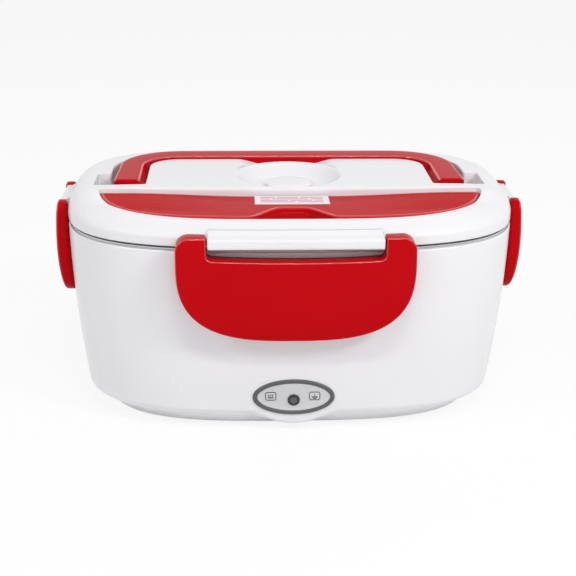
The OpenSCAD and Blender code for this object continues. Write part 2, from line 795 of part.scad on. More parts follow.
// Walls under the deck that carry the recesses
module lid_tubs() {
    difference() {
        union() {
            channel(tub, handle_low - gap - tub, tub_top);
            pivot_boxes(tub, pivot_floor - tub, notch_floor - tub, tub_top);
        }
        translate([-arm_in, -rim_d, 0]) cube([2 * arm_in, rim_d + channel_front - tub, 2 * crown_z]);
    }
    intersection() {
        union() {
            dish(tub, dish_z - tub);
            scoop(tub);
        }
        translate([-rim_l / 2, -rim_d / 2, 0]) cube([rim_l, rim_d, tub_top]);
    }
    for (x = [-1, 1])
        translate([x * (arm_in - channel_in - pivot_block.x / 2), pivot_y, (pivot_floor + tub_top) / 2])
            cube([pivot_block.x, pivot_block.y, tub_top - pivot_floor], center = true);
}

module spoon_tubs() {
    intersection() {
        lid_dome(lid_wall / 2, shelf_step);
        compartment(tub, compartment_z - tub, crown_z);
    }
    intersection() {
        lid_dome(lid_wall / 2, 0);
        union() {
            translate([-rim_l / 2, shelf_y, spoon_low]) cube([rim_l, tub, crown_z]);
            translate([0, 0, compartment_z - tub]) linear_extrude(crown_z) difference() {
                offset(delta = seat_gap + tub) spoon_outline();
                translate([-rim_l, shelf_y - rim_d]) square([2 * rim_l, rim_d]);
            }
        }
    }
}

module lid_shell() color(white) {
    above = crown_z + 5;
    difference() {
        union() {
            lid_part(true);
            lid_part(false);
            lid_tubs();
            spoon_tubs();
        }
        channel(0, handle_low - gap, above);
        pivot_boxes(0, pivot_floor, notch_floor, above);
        dish(0, dish_z);
        scoop(0);
        spoon_pocket(spoon_low - gap, above);
        compartment(0, compartment_z, above);
        translate([0, dish_y, dish_z - tub - 1]) cylinder(tub + 2, r = hole_r);
        for (side = [0, 1]) mirror([side, 0, 0])
            translate([arm_in - channel_in - pin_grip - gap, pivot_y, pivot_z]) rotate([0, 90, 0])
                cylinder(pin_grip + 1, r = pivot_r + run_gap);
    }
    for (side = ["front", "rear"])
        on_side(side) hinge_bar(latch_w, ear_w, latch_reach);
    for (side = ["left", "right"])
        on_side(side) hinge_bar(end_latch_w, end_ear_w, end_reach);
}

module lid_inner() color(white) difference() {
    union() {
        translate([0, 0, panel_z]) linear_extrude(panel_t) polygon(outline(panel_in));
        translate([0, 0, gasket_z]) linear_extrude(panel_z - gasket_z + 0.5) difference() {
            polygon(outline(plug_wall_in));
            polygon(outline(plug_wall_in + panel_t));
        }
        translate([0, 0, gasket_z - lip_h]) linear_extrude(lip_h) difference() {
            polygon(outline(gasket_in + gap));
            polygon(outline(plug_wall_in + panel_t));
        }
    }
    translate([0, dish_y, panel_z - 1]) cylinder(panel_t + 2, r = hole_r);
}

module lid_gasket() color([0.86, 0.87, 0.88])
    translate([0, 0, gasket_z]) linear_extrude(gasket_h) difference() {
        polygon(outline(gasket_in));
        polygon(outline(plug_wall_in));
    }

// Steam plug: domed cap, stem, and a foot that stops it under the inner panel
module vent_plug() color([0.95, 0.95, 0.96]) translate([0, dish_y, 0]) {
    cap_z = dish_z + seal_h + 0.1;
    foot_top = panel_z - vent_lift - gap;
    foot_half = 2;
    rotate_extrude($fn = 64) polygon([[0, cap_z], [plug_r - 1, cap_z], [plug_r, cap_z + 0.8],
        [plug_r - 0.8, cap_z + 1.6], [plug_r * 0.6, cap_z + 2.2], [0, cap_z + plug_t]]);
    translate([0, 0, foot_top - foot_half]) cylinder(cap_z + 0.1 - foot_top + foot_half, r = stem_r);
    translate([0, 0, foot_top - foot_half]) cylinder(foot_half, r1 = stem_r, r2 = hole_r + 1);
}

module vent_seal() color([0.85, 0.45, 0.3]) translate([0, dish_y, dish_z + 0.1]) difference() {
    cylinder(seal_h, r = plug_r - 3.5);
    translate([0, 0, -1]) cylinder(seal_h + 2, r = stem_r);
}

module carry_handle() color(red) {
    soft = 0.7;
    for (k = [0 : chamfer_steps])
        translate([0, 0, handle_low])
            linear_extrude(handle_t - soft - arm_chamfer * (1 - k / chamfer_steps))
                handle_outline(0, arm_flare * (1 - k / chamfer_steps), arm_front);
    translate([0, 0, handle_top - soft - 0.1]) linear_extrude(soft + 0.1)
        handle_outline(-soft, -soft, arm_front + soft);
    for (side = [0, 1]) mirror([side, 0, 0])
        translate([arm_in - channel_in - pin_grip, pivot_y, pivot_z]) rotate([0, 90, 0])
            cylinder(channel_in + pin_grip + 2, r = pivot_r);
}

module spoon_cover() color(red) {
    difference() {
        for (k = [0 : spoon_steps]) {
            a = 90 * k / spoon_steps;
            translate([0, 0, spoon_low]) linear_extrude(spoon_t - spoon_bevel * (1 - cos(a)))
                offset(delta = -spoon_bevel * (1 - sin(a))) spoon_outline();
        }
        translate([0, 0, spoon_low - 1]) linear_extrude(spoon_t + 2) scallop();
    }
    translate([0, 0, compartment_z + gap]) linear_extrude(spoon_low - compartment_z - gap + 0.5)
        intersection() {
            difference() {
                translate([0, scallop_wall]) scallop();
                scallop();
            }
            offset(delta = -spoon_bevel) spoon_outline();
        }
    tab_y = rear_edge(tab_x) - ledge - gap - tab_size.y;
    for (x = [-tab_x, tab_x])
        translate([x - tab_size.x / 2, tab_y, spoon_low - tab_size.z]) cube(tab_size + [0, 0, 0.5]);
}

// Front view of a latch about its hinge line: two ears, a notch for the bar and a round lower edge
module latch_outline(w, ear) {
    half = w / 2;
    r = min(ear * 0.72, 11);
    depth = hinge_z - latch_z - curve_down;
    curve = [for (i = [0 : 12]) let (a = 90 * i / 12)
        [half * signed_pow(cos(a), 2 / 2.15), -curve_down - depth * signed_pow(sin(a), 2 / 2.15)]];
    notch = concat([[0, -cut_down - 0.5]], arc(half - ear - 2, -cut_down + 1.6, 2, -90, 0, 4));
    side = concat(notch, [[half - ear, ear_top]], arc(half - r, ear_top - r, r, 90, 0, 6), curve);
    polygon(concat(side, [for (p = mirrored(side)) if (p.x < 0) p]));
}

module latch(w, ear, reach) {
    axis = axis_out(reach);
    out = reach - axis;
    base = hinge_z - rim_z;
    tip = latch_z - hinge_z - 5;
    back = ear_back - axis;
    tip_back = seat_gap - taper(latch_z) - axis;
    // Front outline carried back from a bowed face; wall insets the outline, depth the face
    module body(wall, depth) intersection() {
        translate([0, out + 1, 0]) rotate([90, 0, 0]) linear_extrude(30)
            offset(delta = -wall) latch_outline(w, ear);
        translate([0, out - latch_bow, latch_mid - hinge_z]) rotate([0, 90, 0])
            cylinder(2 * w, r = latch_bow - depth, center = true, $fn = 240);
    }
    translate([0, axis, hinge_z]) {
        difference() {
            for (edge = latch_edge)
                body(edge[0], edge[1]);
            intersection() {
                body(flange_w, latch_skin);
                translate([-w, -30, tip]) cube([2 * w, 60, -cut_down - flange_w - tip]);
            }
            translate([w, 0, 0]) rotate([90, 0, -90]) linear_extrude(2 * w)
                polygon([[30, 20], [-back, 20], [-back, -base], [-tip_back, tip], [30, tip - 10]]);
        }
        intersection() {
            body(latch_edge[1][0], latch_edge[1][1]);
            translate([-w * hook_share / 2, seat_gap - axis, hook_z - hook_h - hinge_z])
                cube([w * hook_share, 30, hook_h]);
        }
        for (side = [0, 1]) mirror([side, 0, 0])
            translate([w / 2 - ear - latch_pin_len + bar_gap + gap, 0, 0]) rotate([0, 90, 0])
                cylinder(latch_pin_len + 3, r = latch_pin_r);
    }
}

module latch_front() color(red) on_side("front") latch(latch_w, ear_w, latch_reach);
module latch_rear() color(red) on_side("rear") latch(latch_w, ear_w, latch_reach);
module latch_left() color(red) on_side("left") latch(end_latch_w, end_ear_w, end_reach);
module latch_right() color(red) on_side("right") latch(end_latch_w, end_ear_w, end_reach);

// Insulated wire along a list of points, with flat ends
function unit(v) = v / norm(v);
function heading(path, i) = unit(path[min(i + 1, len(path) - 1)] - path[max(i - 1, 0)]);
module wire(path, r) {
    sides = 8;
    function side_of(t) = unit(cross(t, abs(t.z) > 0.9 ? [1, 0, 0] : [0, 0, 1]));
    rings = [for (i = [0 : len(path) - 1]) let (t = heading(path, i), u = side_of(t), v = cross(t, u))
        [for (k = [0 : sides - 1]) path[i] + r * (cos(360 * k / sides) * u + sin(360 * k / sides) * v)]];
    loft(rings);
}

module inner_wires() {
    mains_r = 1.1;
    lamp_wire_r = 0.8;
    x = pin_pitch / 2;
    back = pad_y - socket_depth - tail - run_gap;
    blade_z = heat_under - thermostat_h - blade.z - run_gap;
    lead_y = lead_l / 2 + run_gap;
    lead_z = heat_under - fuse_clip.z;
    board_back = board_y + board_t + run_gap;
    to_fuse = [[-x, back, inlet_z], [-x, back - 2, inlet_z], [-x - 6, back - 6, inlet_z - 4], [-30, 40, 14],
        [fuse_x + 4, 34, 16], [fuse_x, 28, 24], [fuse_x, 21, lead_z], [fuse_x, lead_y, lead_z]];
    to_thermostat = [[x, back, inlet_z], [x, back - 2, inlet_z], [x + 6, back - 6, inlet_z - 4],
        [40, 36, 12], [thermostat_x - 6, 24, 10], [thermostat_x, blade_y, blade_z - 5],
        [thermostat_x, blade_y, blade_z]];
    to_board = [[thermostat_x, -blade_y, blade_z], [thermostat_x, -blade_y, blade_z - 5], [44, -20, 12],
        [24, -50, 13], [8, board_back + 3, 16], [8, board_back, 16]];
    color([0.8, 0.2, 0.15]) wire(to_fuse, mains_r);
    color([0.2, 0.3, 0.7]) wire(to_thermostat, mains_r);
    color([0.9, 0.9, 0.85]) wire(to_board, lamp_wire_r);
}

base_shell();
inner_bucket();
heating_plate();
plate_seal();
ptc_heater();
heater_clamp();
clamp_screws();
thermostat();
thermal_fuse();
inner_wires();
led_board();
indicator_led();
lamp_bezel();
lamp_plate();
lamp_lens();
inlet_socket();
inlet_pins();
bottom_cover();
cover_screws();
rubber_feet();
steel_liner();
lid_shell();
lid_inner();
lid_gasket();
vent_plug();
vent_seal();
carry_handle();
spoon_cover();
latch_front();
latch_rear();
latch_left();
latch_right();
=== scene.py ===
"""Looks of the electric lunch box: every visible piece as a smooth surface in the frame of the CAD nodes.

Shapes are worked out in millimetres and written to the meshes in metres. The table is z = 0,
the front is -Y.
"""

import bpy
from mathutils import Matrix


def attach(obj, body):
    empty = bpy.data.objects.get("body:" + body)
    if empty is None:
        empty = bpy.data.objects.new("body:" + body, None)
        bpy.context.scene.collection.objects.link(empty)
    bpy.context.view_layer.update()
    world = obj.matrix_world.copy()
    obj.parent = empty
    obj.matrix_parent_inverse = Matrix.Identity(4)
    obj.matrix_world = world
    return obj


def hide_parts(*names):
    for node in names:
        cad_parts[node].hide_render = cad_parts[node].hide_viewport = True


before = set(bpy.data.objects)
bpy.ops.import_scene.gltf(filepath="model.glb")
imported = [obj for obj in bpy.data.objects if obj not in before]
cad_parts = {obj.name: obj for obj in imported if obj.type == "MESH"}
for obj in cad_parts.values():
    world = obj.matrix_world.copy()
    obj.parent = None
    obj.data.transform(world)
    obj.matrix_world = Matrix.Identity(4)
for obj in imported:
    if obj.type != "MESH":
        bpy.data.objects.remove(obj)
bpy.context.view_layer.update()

import math

import bmesh
import bpy
import numpy as np
from mathutils import Matrix, Vector
from mathutils.geometry import delaunay_2d_cdt

MM = 0.001
MERGE = 4e-6

# Main sizes of the body, in millimetres
RIM_L, RIM_D, RIM_Z, EDGE_Z = 228.2, 162.4, 97.0, 8.5
ROUNDNESS = 3.1
DRAFT, BOW = math.tan(math.radians(1.2)), 650.0
WALL, LIP_Z, FLANGE_Z, SKIRT_Z, SHOULDER_Z, CROWN_Z = 2.4, 97.3, 98.1, 99.0, 102.9, 114.2
RING = 256

# Latches by side: width, width of an ear, reach beyond the rim, then half width and reach of the ledge below
LONG_LATCH, END_LATCH = (113.4, 14.4, 9, 56.3, 2.43), (50, 9, 5.9, 25, 1.593)
LATCHES = {"front": LONG_LATCH, "rear": LONG_LATCH, "left": END_LATCH, "right": END_LATCH}
HINGE_Z = 103.6


# Curves and rings

def taper(z):
    """Inward distance of the wall at height z: a draft angle plus the drop of a wide arc"""
    drop = np.maximum(0, RIM_Z - np.asarray(z, float))
    return drop * DRAFT + drop ** 2 / (2 * BOW)


def signed_power(value, power):
    return np.sign(value) * np.abs(value) ** power


def even_angles(count):
    """Angles at which the superellipse of the rim has points an equal way apart"""
    fine = np.linspace(0, 2 * np.pi, 16001)
    x = RIM_L / 2 * signed_power(np.cos(fine), 2 / ROUNDNESS)
    y = RIM_D / 2 * signed_power(np.sin(fine), 2 / ROUNDNESS)
    way = np.concatenate([[0], np.cumsum(np.hypot(np.diff(x), np.diff(y)))])
    return np.interp(np.arange(count) / count * way[-1], way, fine)


ANGLES = even_angles(RING)


def outline(inset):
    """Superellipse |x/a|^n + |y/b|^n = 1 whose half axes are the rim's less the inset"""
    return np.stack([(RIM_L / 2 - inset) * signed_power(np.cos(ANGLES), 2 / ROUNDNESS),
                     (RIM_D / 2 - inset) * signed_power(np.sin(ANGLES), 2 / ROUNDNESS)], -1)


def ring(inset, z):
    """Outline at one inset and height, each a number or one value for each point"""
    return np.column_stack([outline(np.asarray(inset, float)), np.broadcast_to(z, RING)])


def ring_stack(profile):
    """Rings of the body outline at each (inset, height) of a profile"""
    return np.array([ring(inset, z) for inset, z in profile])


def wall(inset, heights):
    """(inset, height) points down or up a wall that stays a distance inside the bowed outside"""
    return [(inset + taper(z), z) for z in heights]


def bend(inset, z, across, up, start, end, count):
    """(inset, height) points on a quarter ellipse, which meets a wall at 0 and a floor at 90 degrees"""
    return [(inset + across * (1 - math.cos(turn)), z + up * (1 - math.sin(turn)))
            for turn in np.radians(np.linspace(start, end, count))]


def on_circle(turn, radius, centre):
    return np.stack([centre[0] + radius * np.cos(turn), centre[1] + radius * np.sin(turn)], -1)


def circle(radius, count=64, centre=(0, 0)):
    return on_circle(np.arange(count) / count * 2 * np.pi, radius, centre)


def arc(centre, radius, start, end, count):
    """Points on a circle between two angles in degrees"""
    return on_circle(np.radians(np.linspace(start, end, count)), radius, centre)


def box_loop(x0, x1, y0, y1, r, count=5):
    """Rectangle with round corners"""
    centres = ((x1 - r, y1 - r), (x0 + r, y1 - r), (x0 + r, y0 + r), (x1 - r, y0 + r))
    return np.vstack([arc(centre, r, 90 * k, 90 * k + 90, count) for k, centre in enumerate(centres)])


def level(loop, z):
    """Plan line at a height"""
    return np.column_stack([loop, np.full(len(loop), z)])


def box_ring(w, h, r, z, count=16):
    """Rectangle with round corners about the origin, at a height"""
    return level(box_loop(-w / 2, w / 2, -h / 2, h / 2, r, count), z)


def mirrored(points):
    """The same line on the other side of X = 0, run the other way"""
    return (points * (-1, 1))[::-1]


def even_line(points, step=1.5):
    """Closed line with its corners kept and its edges cut into equal parts no longer than the step"""
    parts = []
    for start, end in zip(points, np.roll(points, -1, 0)):
        count = max(1, int(math.ceil(np.linalg.norm(end - start) / step - 1e-6)))
        parts.append(start + (end - start) * (np.arange(count) / count)[:, None])
    return np.concatenate(parts)


def resample(points, count):
    """Closed line as a given number of points an equal way apart"""
    loop = np.vstack([points, points[:1]])
    way = np.concatenate([[0], np.cumsum(np.linalg.norm(np.diff(loop, axis=0), axis=1))])
    at = np.arange(count) / count * way[-1]
    return np.stack([np.interp(at, way, loop[:, k]) for k in range(loop.shape[1])], -1)


def ccw(points):
    """Closed line run counter-clockwise, by the sign of its area"""
    x, y = points.T
    return points if np.sum(x * np.roll(y, -1) - np.roll(x, -1) * y) > 0 else points[::-1]


def offset(points, distance):
    """Closed counter-clockwise line moved outwards by a distance, each point along its mitre"""
    edge = np.roll(points, -1, 0) - points
    edge = edge / np.linalg.norm(edge, axis=1)[:, None]
    normal = np.stack([edge[:, 1], -edge[:, 0]], -1)
    before = np.roll(normal, 1, 0)
    mitre = (normal + before) / np.maximum(0.35, 1 + np.sum(normal * before, 1))[:, None]
    return points + distance * mitre


def clean_offset(points, distance):
    """Offset line without the points that a tight corner folds over"""
    moved = offset(points, distance)
    far = np.abs(signed_distance(moved, points))
    return moved[far > abs(distance) * 0.97 - 1e-4]


def offset_round(points, radius):
    """Closed line with its outer corners rounded: moved in by the radius, then out as arcs"""
    return clean_offset(resample(clean_offset(points, -radius), 900), radius)


def signed_distance(where, line, block=3000):
    """Distance to a closed line, negative inside it"""
    start, end = line, np.roll(line, -1, 0)
    edge = end - start
    length = np.maximum(1e-12, np.sum(edge * edge, 1))
    rise = np.where(np.abs(edge[:, 1]) < 1e-12, 1e-12, edge[:, 1])
    result = np.empty(len(where))
    for first in range(0, len(where), block):
        p = where[first:first + block, None, :]
        gap = p - start
        share = np.clip(np.sum(gap * edge, -1) / length, 0, 1)
        near = gap - share[..., None] * edge
        distance = np.sqrt(np.min(np.sum(near * near, -1), 1))
        above = (start[:, 1] > p[..., 1]) != (end[:, 1] > p[..., 1])
        cross = start[:, 0] + (p[..., 1] - start[:, 1]) / rise * edge[:, 0]
        inside = np.sum(above & (p[..., 0] < cross), 1) % 2 == 1
        result[first:first + block] = np.where(inside, -distance, distance)
    return result


def smooth_min(a, b, width):
    """Lower of two heights, with a round fillet where they are within the width of each other"""
    return np.minimum(a, b) - np.maximum(width - np.abs(a - b), 0) ** 2 / (4 * width)


def smooth_step(value):
    value = np.clip(value, 0, 1)
    return value * value * (3 - 2 * value)


def round_fall(distance, r):
    """Fall of a quarter circle of radius r from its level end: r at distance 0 or less, none from r on"""
    return r - np.sqrt(np.maximum(0, r * r - (r - np.clip(distance, 0, r)) ** 2))


# Shapes

def grid_faces(count, n, closed):
    """Faces (step, k, corner) of a skin over closed rings, point (i, k) being point k of ring i"""
    low = np.arange(count if closed else count - 1)[:, None] * n
    high = (low + n) % (count * n)
    here, there = np.arange(n), (np.arange(n) + 1) % n
    return np.stack([low + here, low + there, high + there, high + here], -1)


class Shape:
    """Points in millimetres and faces, added patch by patch; patches that meet share their points"""

    def __init__(self):
        self.points, self.normals, self.faces, self.marks, self.count = [], [], [], [], 0

    def add(self, points, faces, normals=None, marks=0):
        """Adds a patch; a normal of zero length leaves that point to the mesh's own smoothing, and a mark
        is the number of the face's material"""
        self.points.append(np.asarray(points, float).reshape(-1, 3))
        self.normals.append(np.zeros_like(self.points[-1]) if normals is None else normals)
        self.faces += (np.asarray(faces) + self.count).tolist()
        self.marks += np.broadcast_to(marks, len(faces)).tolist()
        self.count += len(self.points[-1])
        return self

    def cap(self, points):
        """Flat face across a closed ring"""
        return self.add(points, [np.arange(len(points))])

    def loft(self, rings, closed=False, caps=(False, False), marks=0):
        """Skin over closed rings with the same number of points"""
        rings = np.asarray(rings, float)
        self.add(rings, grid_faces(*rings.shape[:2], closed).reshape(-1, 4), marks=marks)
        for wanted, end in zip(caps, (0, -1)):
            if wanted:
                self.cap(rings[end])
        return self

    def strip(self, one, other):
        """Triangles between two closed lines that may have different numbers of points"""
        a, b = len(one), len(other)
        most = max(a, b)
        i = np.arange(most)
        corners = np.stack([i * a // most, (i + 1) * a // most % a, a + (i + 1) * b // most % b,
                            a + i * b // most], -1)
        faces = np.vstack([corners[:, [0, 1, 3]], corners[:, [1, 2, 3]]])
        return self.add(np.vstack([one, other]), faces[np.all(faces != np.roll(faces, 1, 1), 1)])

    def turned(self, profile, centre=(0, 0, 0), count=64, place=None):
        """Profile of (radius, height) turned about the local Z axis, with a flat cap at each end"""
        rings = np.array([level(circle(radius, count), z) for radius, z in profile]) + centre
        return self.loft(rings if place is None else place(rings), caps=(True, True))

    def posts(self, places, profile, count):
        """Profile turned about an upright axis at each of a few places"""
        for x, y in places:
            self.turned(profile, (x, y, 0), count)
        return self

    def box(self, low, high, radius, place=None):
        """Box with round upright edges and small fillets at top and bottom"""
        soft = radius * 0.6
        steps = ((soft, 0), (soft * 0.3, soft * 0.3), (0, soft))
        heights = [(inset, low[2] + up) for inset, up in steps]
        heights += [(inset, high[2] - up) for inset, up in steps[::-1]]
        rings = np.array([level(box_loop(low[0] + inset, high[0] - inset, low[1] + inset, high[1] - inset,
                                         radius - inset, 4), z) for inset, z in heights])
        return self.loft(rings if place is None else place(rings), caps=(True, True))

    def cross_pin(self, side, start, centre, profile, count, place=None):
        """Pin along X on one side (1 or -1): a profile of (radius, way outwards) about a (Y, Z) centre"""
        def lie(points):
            pin = np.stack([side * (start + points[..., 2]), centre[0] + points[..., 0],
                            centre[1] + points[..., 1]], -1)
            return pin if place is None else place(pin)

        return self.turned(profile, count=count, place=lie)


def finish_mesh(name, shape, sharp):
    """Mesh of a shape in metres: meeting points merged, faces outwards, edges past an angle sharp"""
    mesh = bpy.data.meshes.new(name)
    mesh.from_pydata((np.vstack(shape.points) * MM).tolist(), [], shape.faces)
    wanted = np.vstack(shape.normals)
    mesh.polygons.foreach_set("material_index", shape.marks)
    mesh.attributes.new("wanted", "FLOAT_VECTOR", "POINT").data.foreach_set("vector", wanted.ravel())
    work = bmesh.new()
    work.from_mesh(mesh)
    bmesh.ops.remove_doubles(work, verts=work.verts, dist=MERGE)
    bmesh.ops.dissolve_degenerate(work, edges=work.edges, dist=1e-7)
    bmesh.ops.recalc_face_normals(work, faces=work.faces)
    work.to_mesh(mesh)
    work.free()
    mesh.shade_smooth()
    mesh.set_sharp_from_angle(angle=math.radians(sharp))
    if wanted.any():
        kept = np.empty(len(mesh.vertices) * 3)
        mesh.attributes["wanted"].data.foreach_get("vector", kept)
        mesh.normals_split_custom_set_from_vertices(kept.reshape(-1, 3).tolist())
    mesh.attributes.remove(mesh.attributes["wanted"])
    return mesh


def slope_normals(height, x, y, steepest=1.2, step=0.06):
    """Normals of a height over the plan by central differences; none where it is steeper than a limit"""
    along_x = (height(x + step, y) - height(x - step, y)) / (2 * step)
    along_y = (height(x, y + step) - height(x, y - step)) / (2 * step)
    normals = np.stack([-along_x, -along_y, np.ones_like(x)], -1)
    normals /= np.linalg.norm(normals, axis=1)[:, None]
    return np.where((np.hypot(along_x, along_y) < steepest)[:, None], normals, 0)


def piece(name, shape, body, material, nodes=(), edge=None, sharp=38):
    """Object of a shape that rides on a body and stands for CAD nodes; edge is a second material for its
    marked faces, used for a painted highlight along rounded edges
    """
    made = bpy.data.objects.new(name, finish_mesh(name, shape, sharp))
    bpy.context.scene.collection.objects.link(made)
    made.data.materials.append(material)
    if edge:
        made.data.materials.append(edge)
    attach(made, body)
    if nodes:
        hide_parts(*nodes)


def relief(border, lines, spacing, clear, holes=()):
    """Plan of triangles inside a border: its lines are edges, and evenly packed points fill the rest.
    Returns the points and the triangles."""
    loops = [border, *holes, *lines]
    starts = np.cumsum([0] + [len(loop) for loop in loops])
    edges = [np.stack([np.arange(len(loop)), (np.arange(len(loop)) + 1) % len(loop)], -1) + start
             for loop, start in zip(loops, starts)]
    low, high = border.min(0), border.max(0)
    rows = np.arange(low[1], high[1], spacing * 0.866)
    columns = np.arange(low[0], high[0], spacing)
    x = columns[None, :] + np.where(np.arange(len(rows)) % 2, spacing / 2, 0)[:, None]
    fill = np.stack([x, np.broadcast_to(rows[:, None], x.shape)], -1).reshape(-1, 2)
    fill = fill[signed_distance(fill, border) < -clear]
    # Cells of the plan that hold a line or lie beside one take no filling point
    lined = np.vstack([even_line(loop, clear / 2) for loop in loops])
    cells = np.unique(np.floor(lined / clear).astype(int), axis=0)
    shifts = np.array([(i, j) for i in (-1, 0, 1) for j in (-1, 0, 1)])
    code = np.array([100003, 1])
    taken = np.unique(((cells[:, None] + shifts) @ code).ravel())
    fill = fill[~np.isin(np.floor(fill / clear).astype(int) @ code, taken)]
    points = [Vector(p) for p in np.vstack(loops + [fill]).tolist()]
    found = delaunay_2d_cdt(points, np.vstack(edges).tolist(), [], 0, 1e-4)
    plan = np.array([tuple(v) for v in found[0]])
    triangles = np.array([list(f) for f in found[2]])
    middle = plan[triangles].mean(1)
    keep = signed_distance(middle, border) < 0
    for hole in holes:
        keep &= signed_distance(middle, hole) > 0
    return plan, triangles[keep]


# Materials

def shader(name, colour, roughness, **sockets):
    """Material with one Principled shader; returns it with its node tree and shader"""
    made = bpy.data.materials.new(name)
    made.use_nodes = True
    main = made.node_tree.nodes["Principled BSDF"]
    main.inputs["Base Color"].default_value = (*colour, 1)
    main.inputs["Roughness"].default_value = roughness
    for key, value in sockets.items():
        main.inputs[key.replace("_", " ")].default_value = value
    return made, made.node_tree, main


def noise(tree, scale, detail=3.0, stretch=(1, 1, 1)):
    """Noise on the object's own coordinates, stretched by a mapping"""
    place = tree.nodes.new("ShaderNodeTexCoord")
    mapping = tree.nodes.new("ShaderNodeMapping")
    mapping.inputs["Scale"].default_value = stretch
    grain = tree.nodes.new("ShaderNodeTexNoise")
    grain.inputs["Scale"].default_value = scale
    grain.inputs["Detail"].default_value = detail
    tree.links.new(place.outputs["Object"], mapping.inputs["Vector"])
    tree.links.new(mapping.outputs["Vector"], grain.inputs["Vector"])
    return grain.outputs["Fac"]


def between(tree, share, low, high, first=0, last=1):
    """Value that goes from one level to another as a share goes from its first to its last"""
    ranged = tree.nodes.new("ShaderNodeMapRange")
    for key, value in (("From Min", first), ("From Max", last), ("To Min", low), ("To Max", high)):
        ranged.inputs[key].default_value = value
    tree.links.new(share, ranged.inputs["Value"])
    return ranged.outputs["Result"]


def tint(tree, main, source, dark, light):
    """Colour that wanders between two close tones"""
    ramp = tree.nodes.new("ShaderNodeValToRGB")
    for stop, position, tone in zip(ramp.color_ramp.elements, (0.32, 0.68), (dark, light)):
        stop.position = position
        stop.color = (*tone, 1)
    tree.links.new(source, ramp.inputs["Fac"])
    tree.links.new(ramp.outputs["Color"], main.inputs["Base Color"])


def finish_grain(tree, main, gloss, low, high, grain, height):
    """Roughness between two limits by one noise, and relief of a height in millimetres by another"""
    tree.links.new(between(tree, gloss, low, high, 0.3, 0.7), main.inputs["Roughness"])
    raised = tree.nodes.new("ShaderNodeBump")
    raised.inputs["Strength"].default_value = 1.0
    raised.inputs["Distance"].default_value = height * MM
    tree.links.new(grain, raised.inputs["Height"])
    tree.links.new(raised.outputs["Normal"], main.inputs["Normal"])


def plastic(name, colour, roughness=0.25, grain=900, height=0.01, change=0.03, **sockets):
    """Moulded plastic: slow drift of tone and gloss, with a very fine grain"""
    made, tree, main = shader(name, colour, roughness, **sockets)
    dark, light = [c * (1 - change) for c in colour], [min(1, c * (1 + change)) for c in colour]
    tint(tree, main, noise(tree, 22), dark, light)
    finish_grain(tree, main, noise(tree, 60), roughness * 0.85, roughness * 1.2, noise(tree, grain, 4),
                 height)
    return made


def metal(name, colour, roughness=0.25, stretch=(1, 1, 1), grain=600, height=0.008):
    """Metal with fine marks drawn out along one direction"""
    made, tree, main = shader(name, colour, roughness, Metallic=1.0)
    marks = noise(tree, grain, 5, stretch)
    tint(tree, main, marks, [c * 0.9 for c in colour], colour)
    finish_grain(tree, main, marks, roughness * 0.75, roughness * 1.35, marks, height)
    return made


WHITE = plastic("white_abs", (0.78, 0.78, 0.80), 0.22, change=0.01, Specular_IOR_Level=0.14)
# Painted light: the cover's colour is set lighter than the white shell to lift the shade under the body's
# lower edge
PALE_PAINTED_LIGHT = plastic("pale_grey_abs_painted_light", (0.86, 0.86, 0.88), 0.3, change=0.012, Specular_IOR_Level=0.14)
BUCKET = plastic("white_pp", (0.76, 0.76, 0.78), 0.38, change=0.015)
RED = plastic("red_pp", (0.48, 0.003, 0.006), 0.13, change=0.02, Specular_IOR_Level=0.02)
# Painted highlight: a lighter red with a much higher specular level, put on the faces along rounded edges to
# lay pale rim lines there
RED_PAINTED_HIGHLIGHT = plastic("red_pp_painted_highlight", (0.54, 0.010, 0.014), 0.17, change=0.02, Specular_IOR_Level=0.8)
PAPER = plastic("label_paper", (0.80, 0.76, 0.78), 0.5, Specular_IOR_Level=0.1)
PRINT = plastic("faded_print", (0.60, 0.30, 0.36), 0.5, Specular_IOR_Level=0.1)
STEEL = metal("brushed_steel", (0.72, 0.73, 0.75), 0.27, (0.06, 0.06, 1.0), 260, 0.0012)
PLATE = metal("aluminium_plate", (0.75, 0.76, 0.78), 0.36, (0.06, 1.0, 1), 260, 0.0015)
SCREW = metal("zinc_steel", (0.62, 0.62, 0.64), 0.3, grain=300)
BRASS = metal("nickel_brass", (0.80, 0.70, 0.46), 0.25, grain=300)
SILICONE = plastic("soft_silicone", (0.70, 0.71, 0.72), 0.55, grain=500, height=0.02)
SEAL = plastic("orange_silicone", (0.72, 0.27, 0.12), 0.55, grain=500, height=0.02)
BLACK = plastic("black_abs", (0.016, 0.016, 0.018), 0.35)
DARK = plastic("dark_grey_abs", (0.085, 0.085, 0.095), 0.32, height=0.02)
SILVER = plastic("silver_paint", (0.61, 0.605, 0.62), 0.42, grain=1500, height=0.012, Metallic=0.35)
SMOKE = plastic("smoky_lens", (0.09, 0.09, 0.095), 0.15)
RUBBER = plastic("foot_rubber", (0.045, 0.045, 0.048), 0.75, grain=500, height=0.04)
BOARD = plastic("green_board", (0.02, 0.16, 0.06), 0.45)
LAMP = plastic("red_lamp", (0.5, 0.03, 0.02), 0.12, Transmission_Weight=0.3)
HEATER = metal("heater_case", (0.7, 0.7, 0.72), 0.4, grain=300)
WIRE = plastic("wire_sleeve", (0.55, 0.08, 0.06), 0.45)

# CAD nodes that are shown as they are
CARRIED = {
    "plate_seal": SEAL, "ptc_heater": HEATER, "heater_clamp": SCREW, "clamp_screws": SCREW,
    "thermostat": BLACK, "thermal_fuse": BRASS, "inner_wires": WIRE, "led_board": BOARD,
    "indicator_led": LAMP, "inlet_pins": BRASS, "vent_seal": SEAL,
}
for node_name, look in CARRIED.items():
    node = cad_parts[node_name]
    node.data.materials.clear()
    node.data.materials.append(look)


# Base

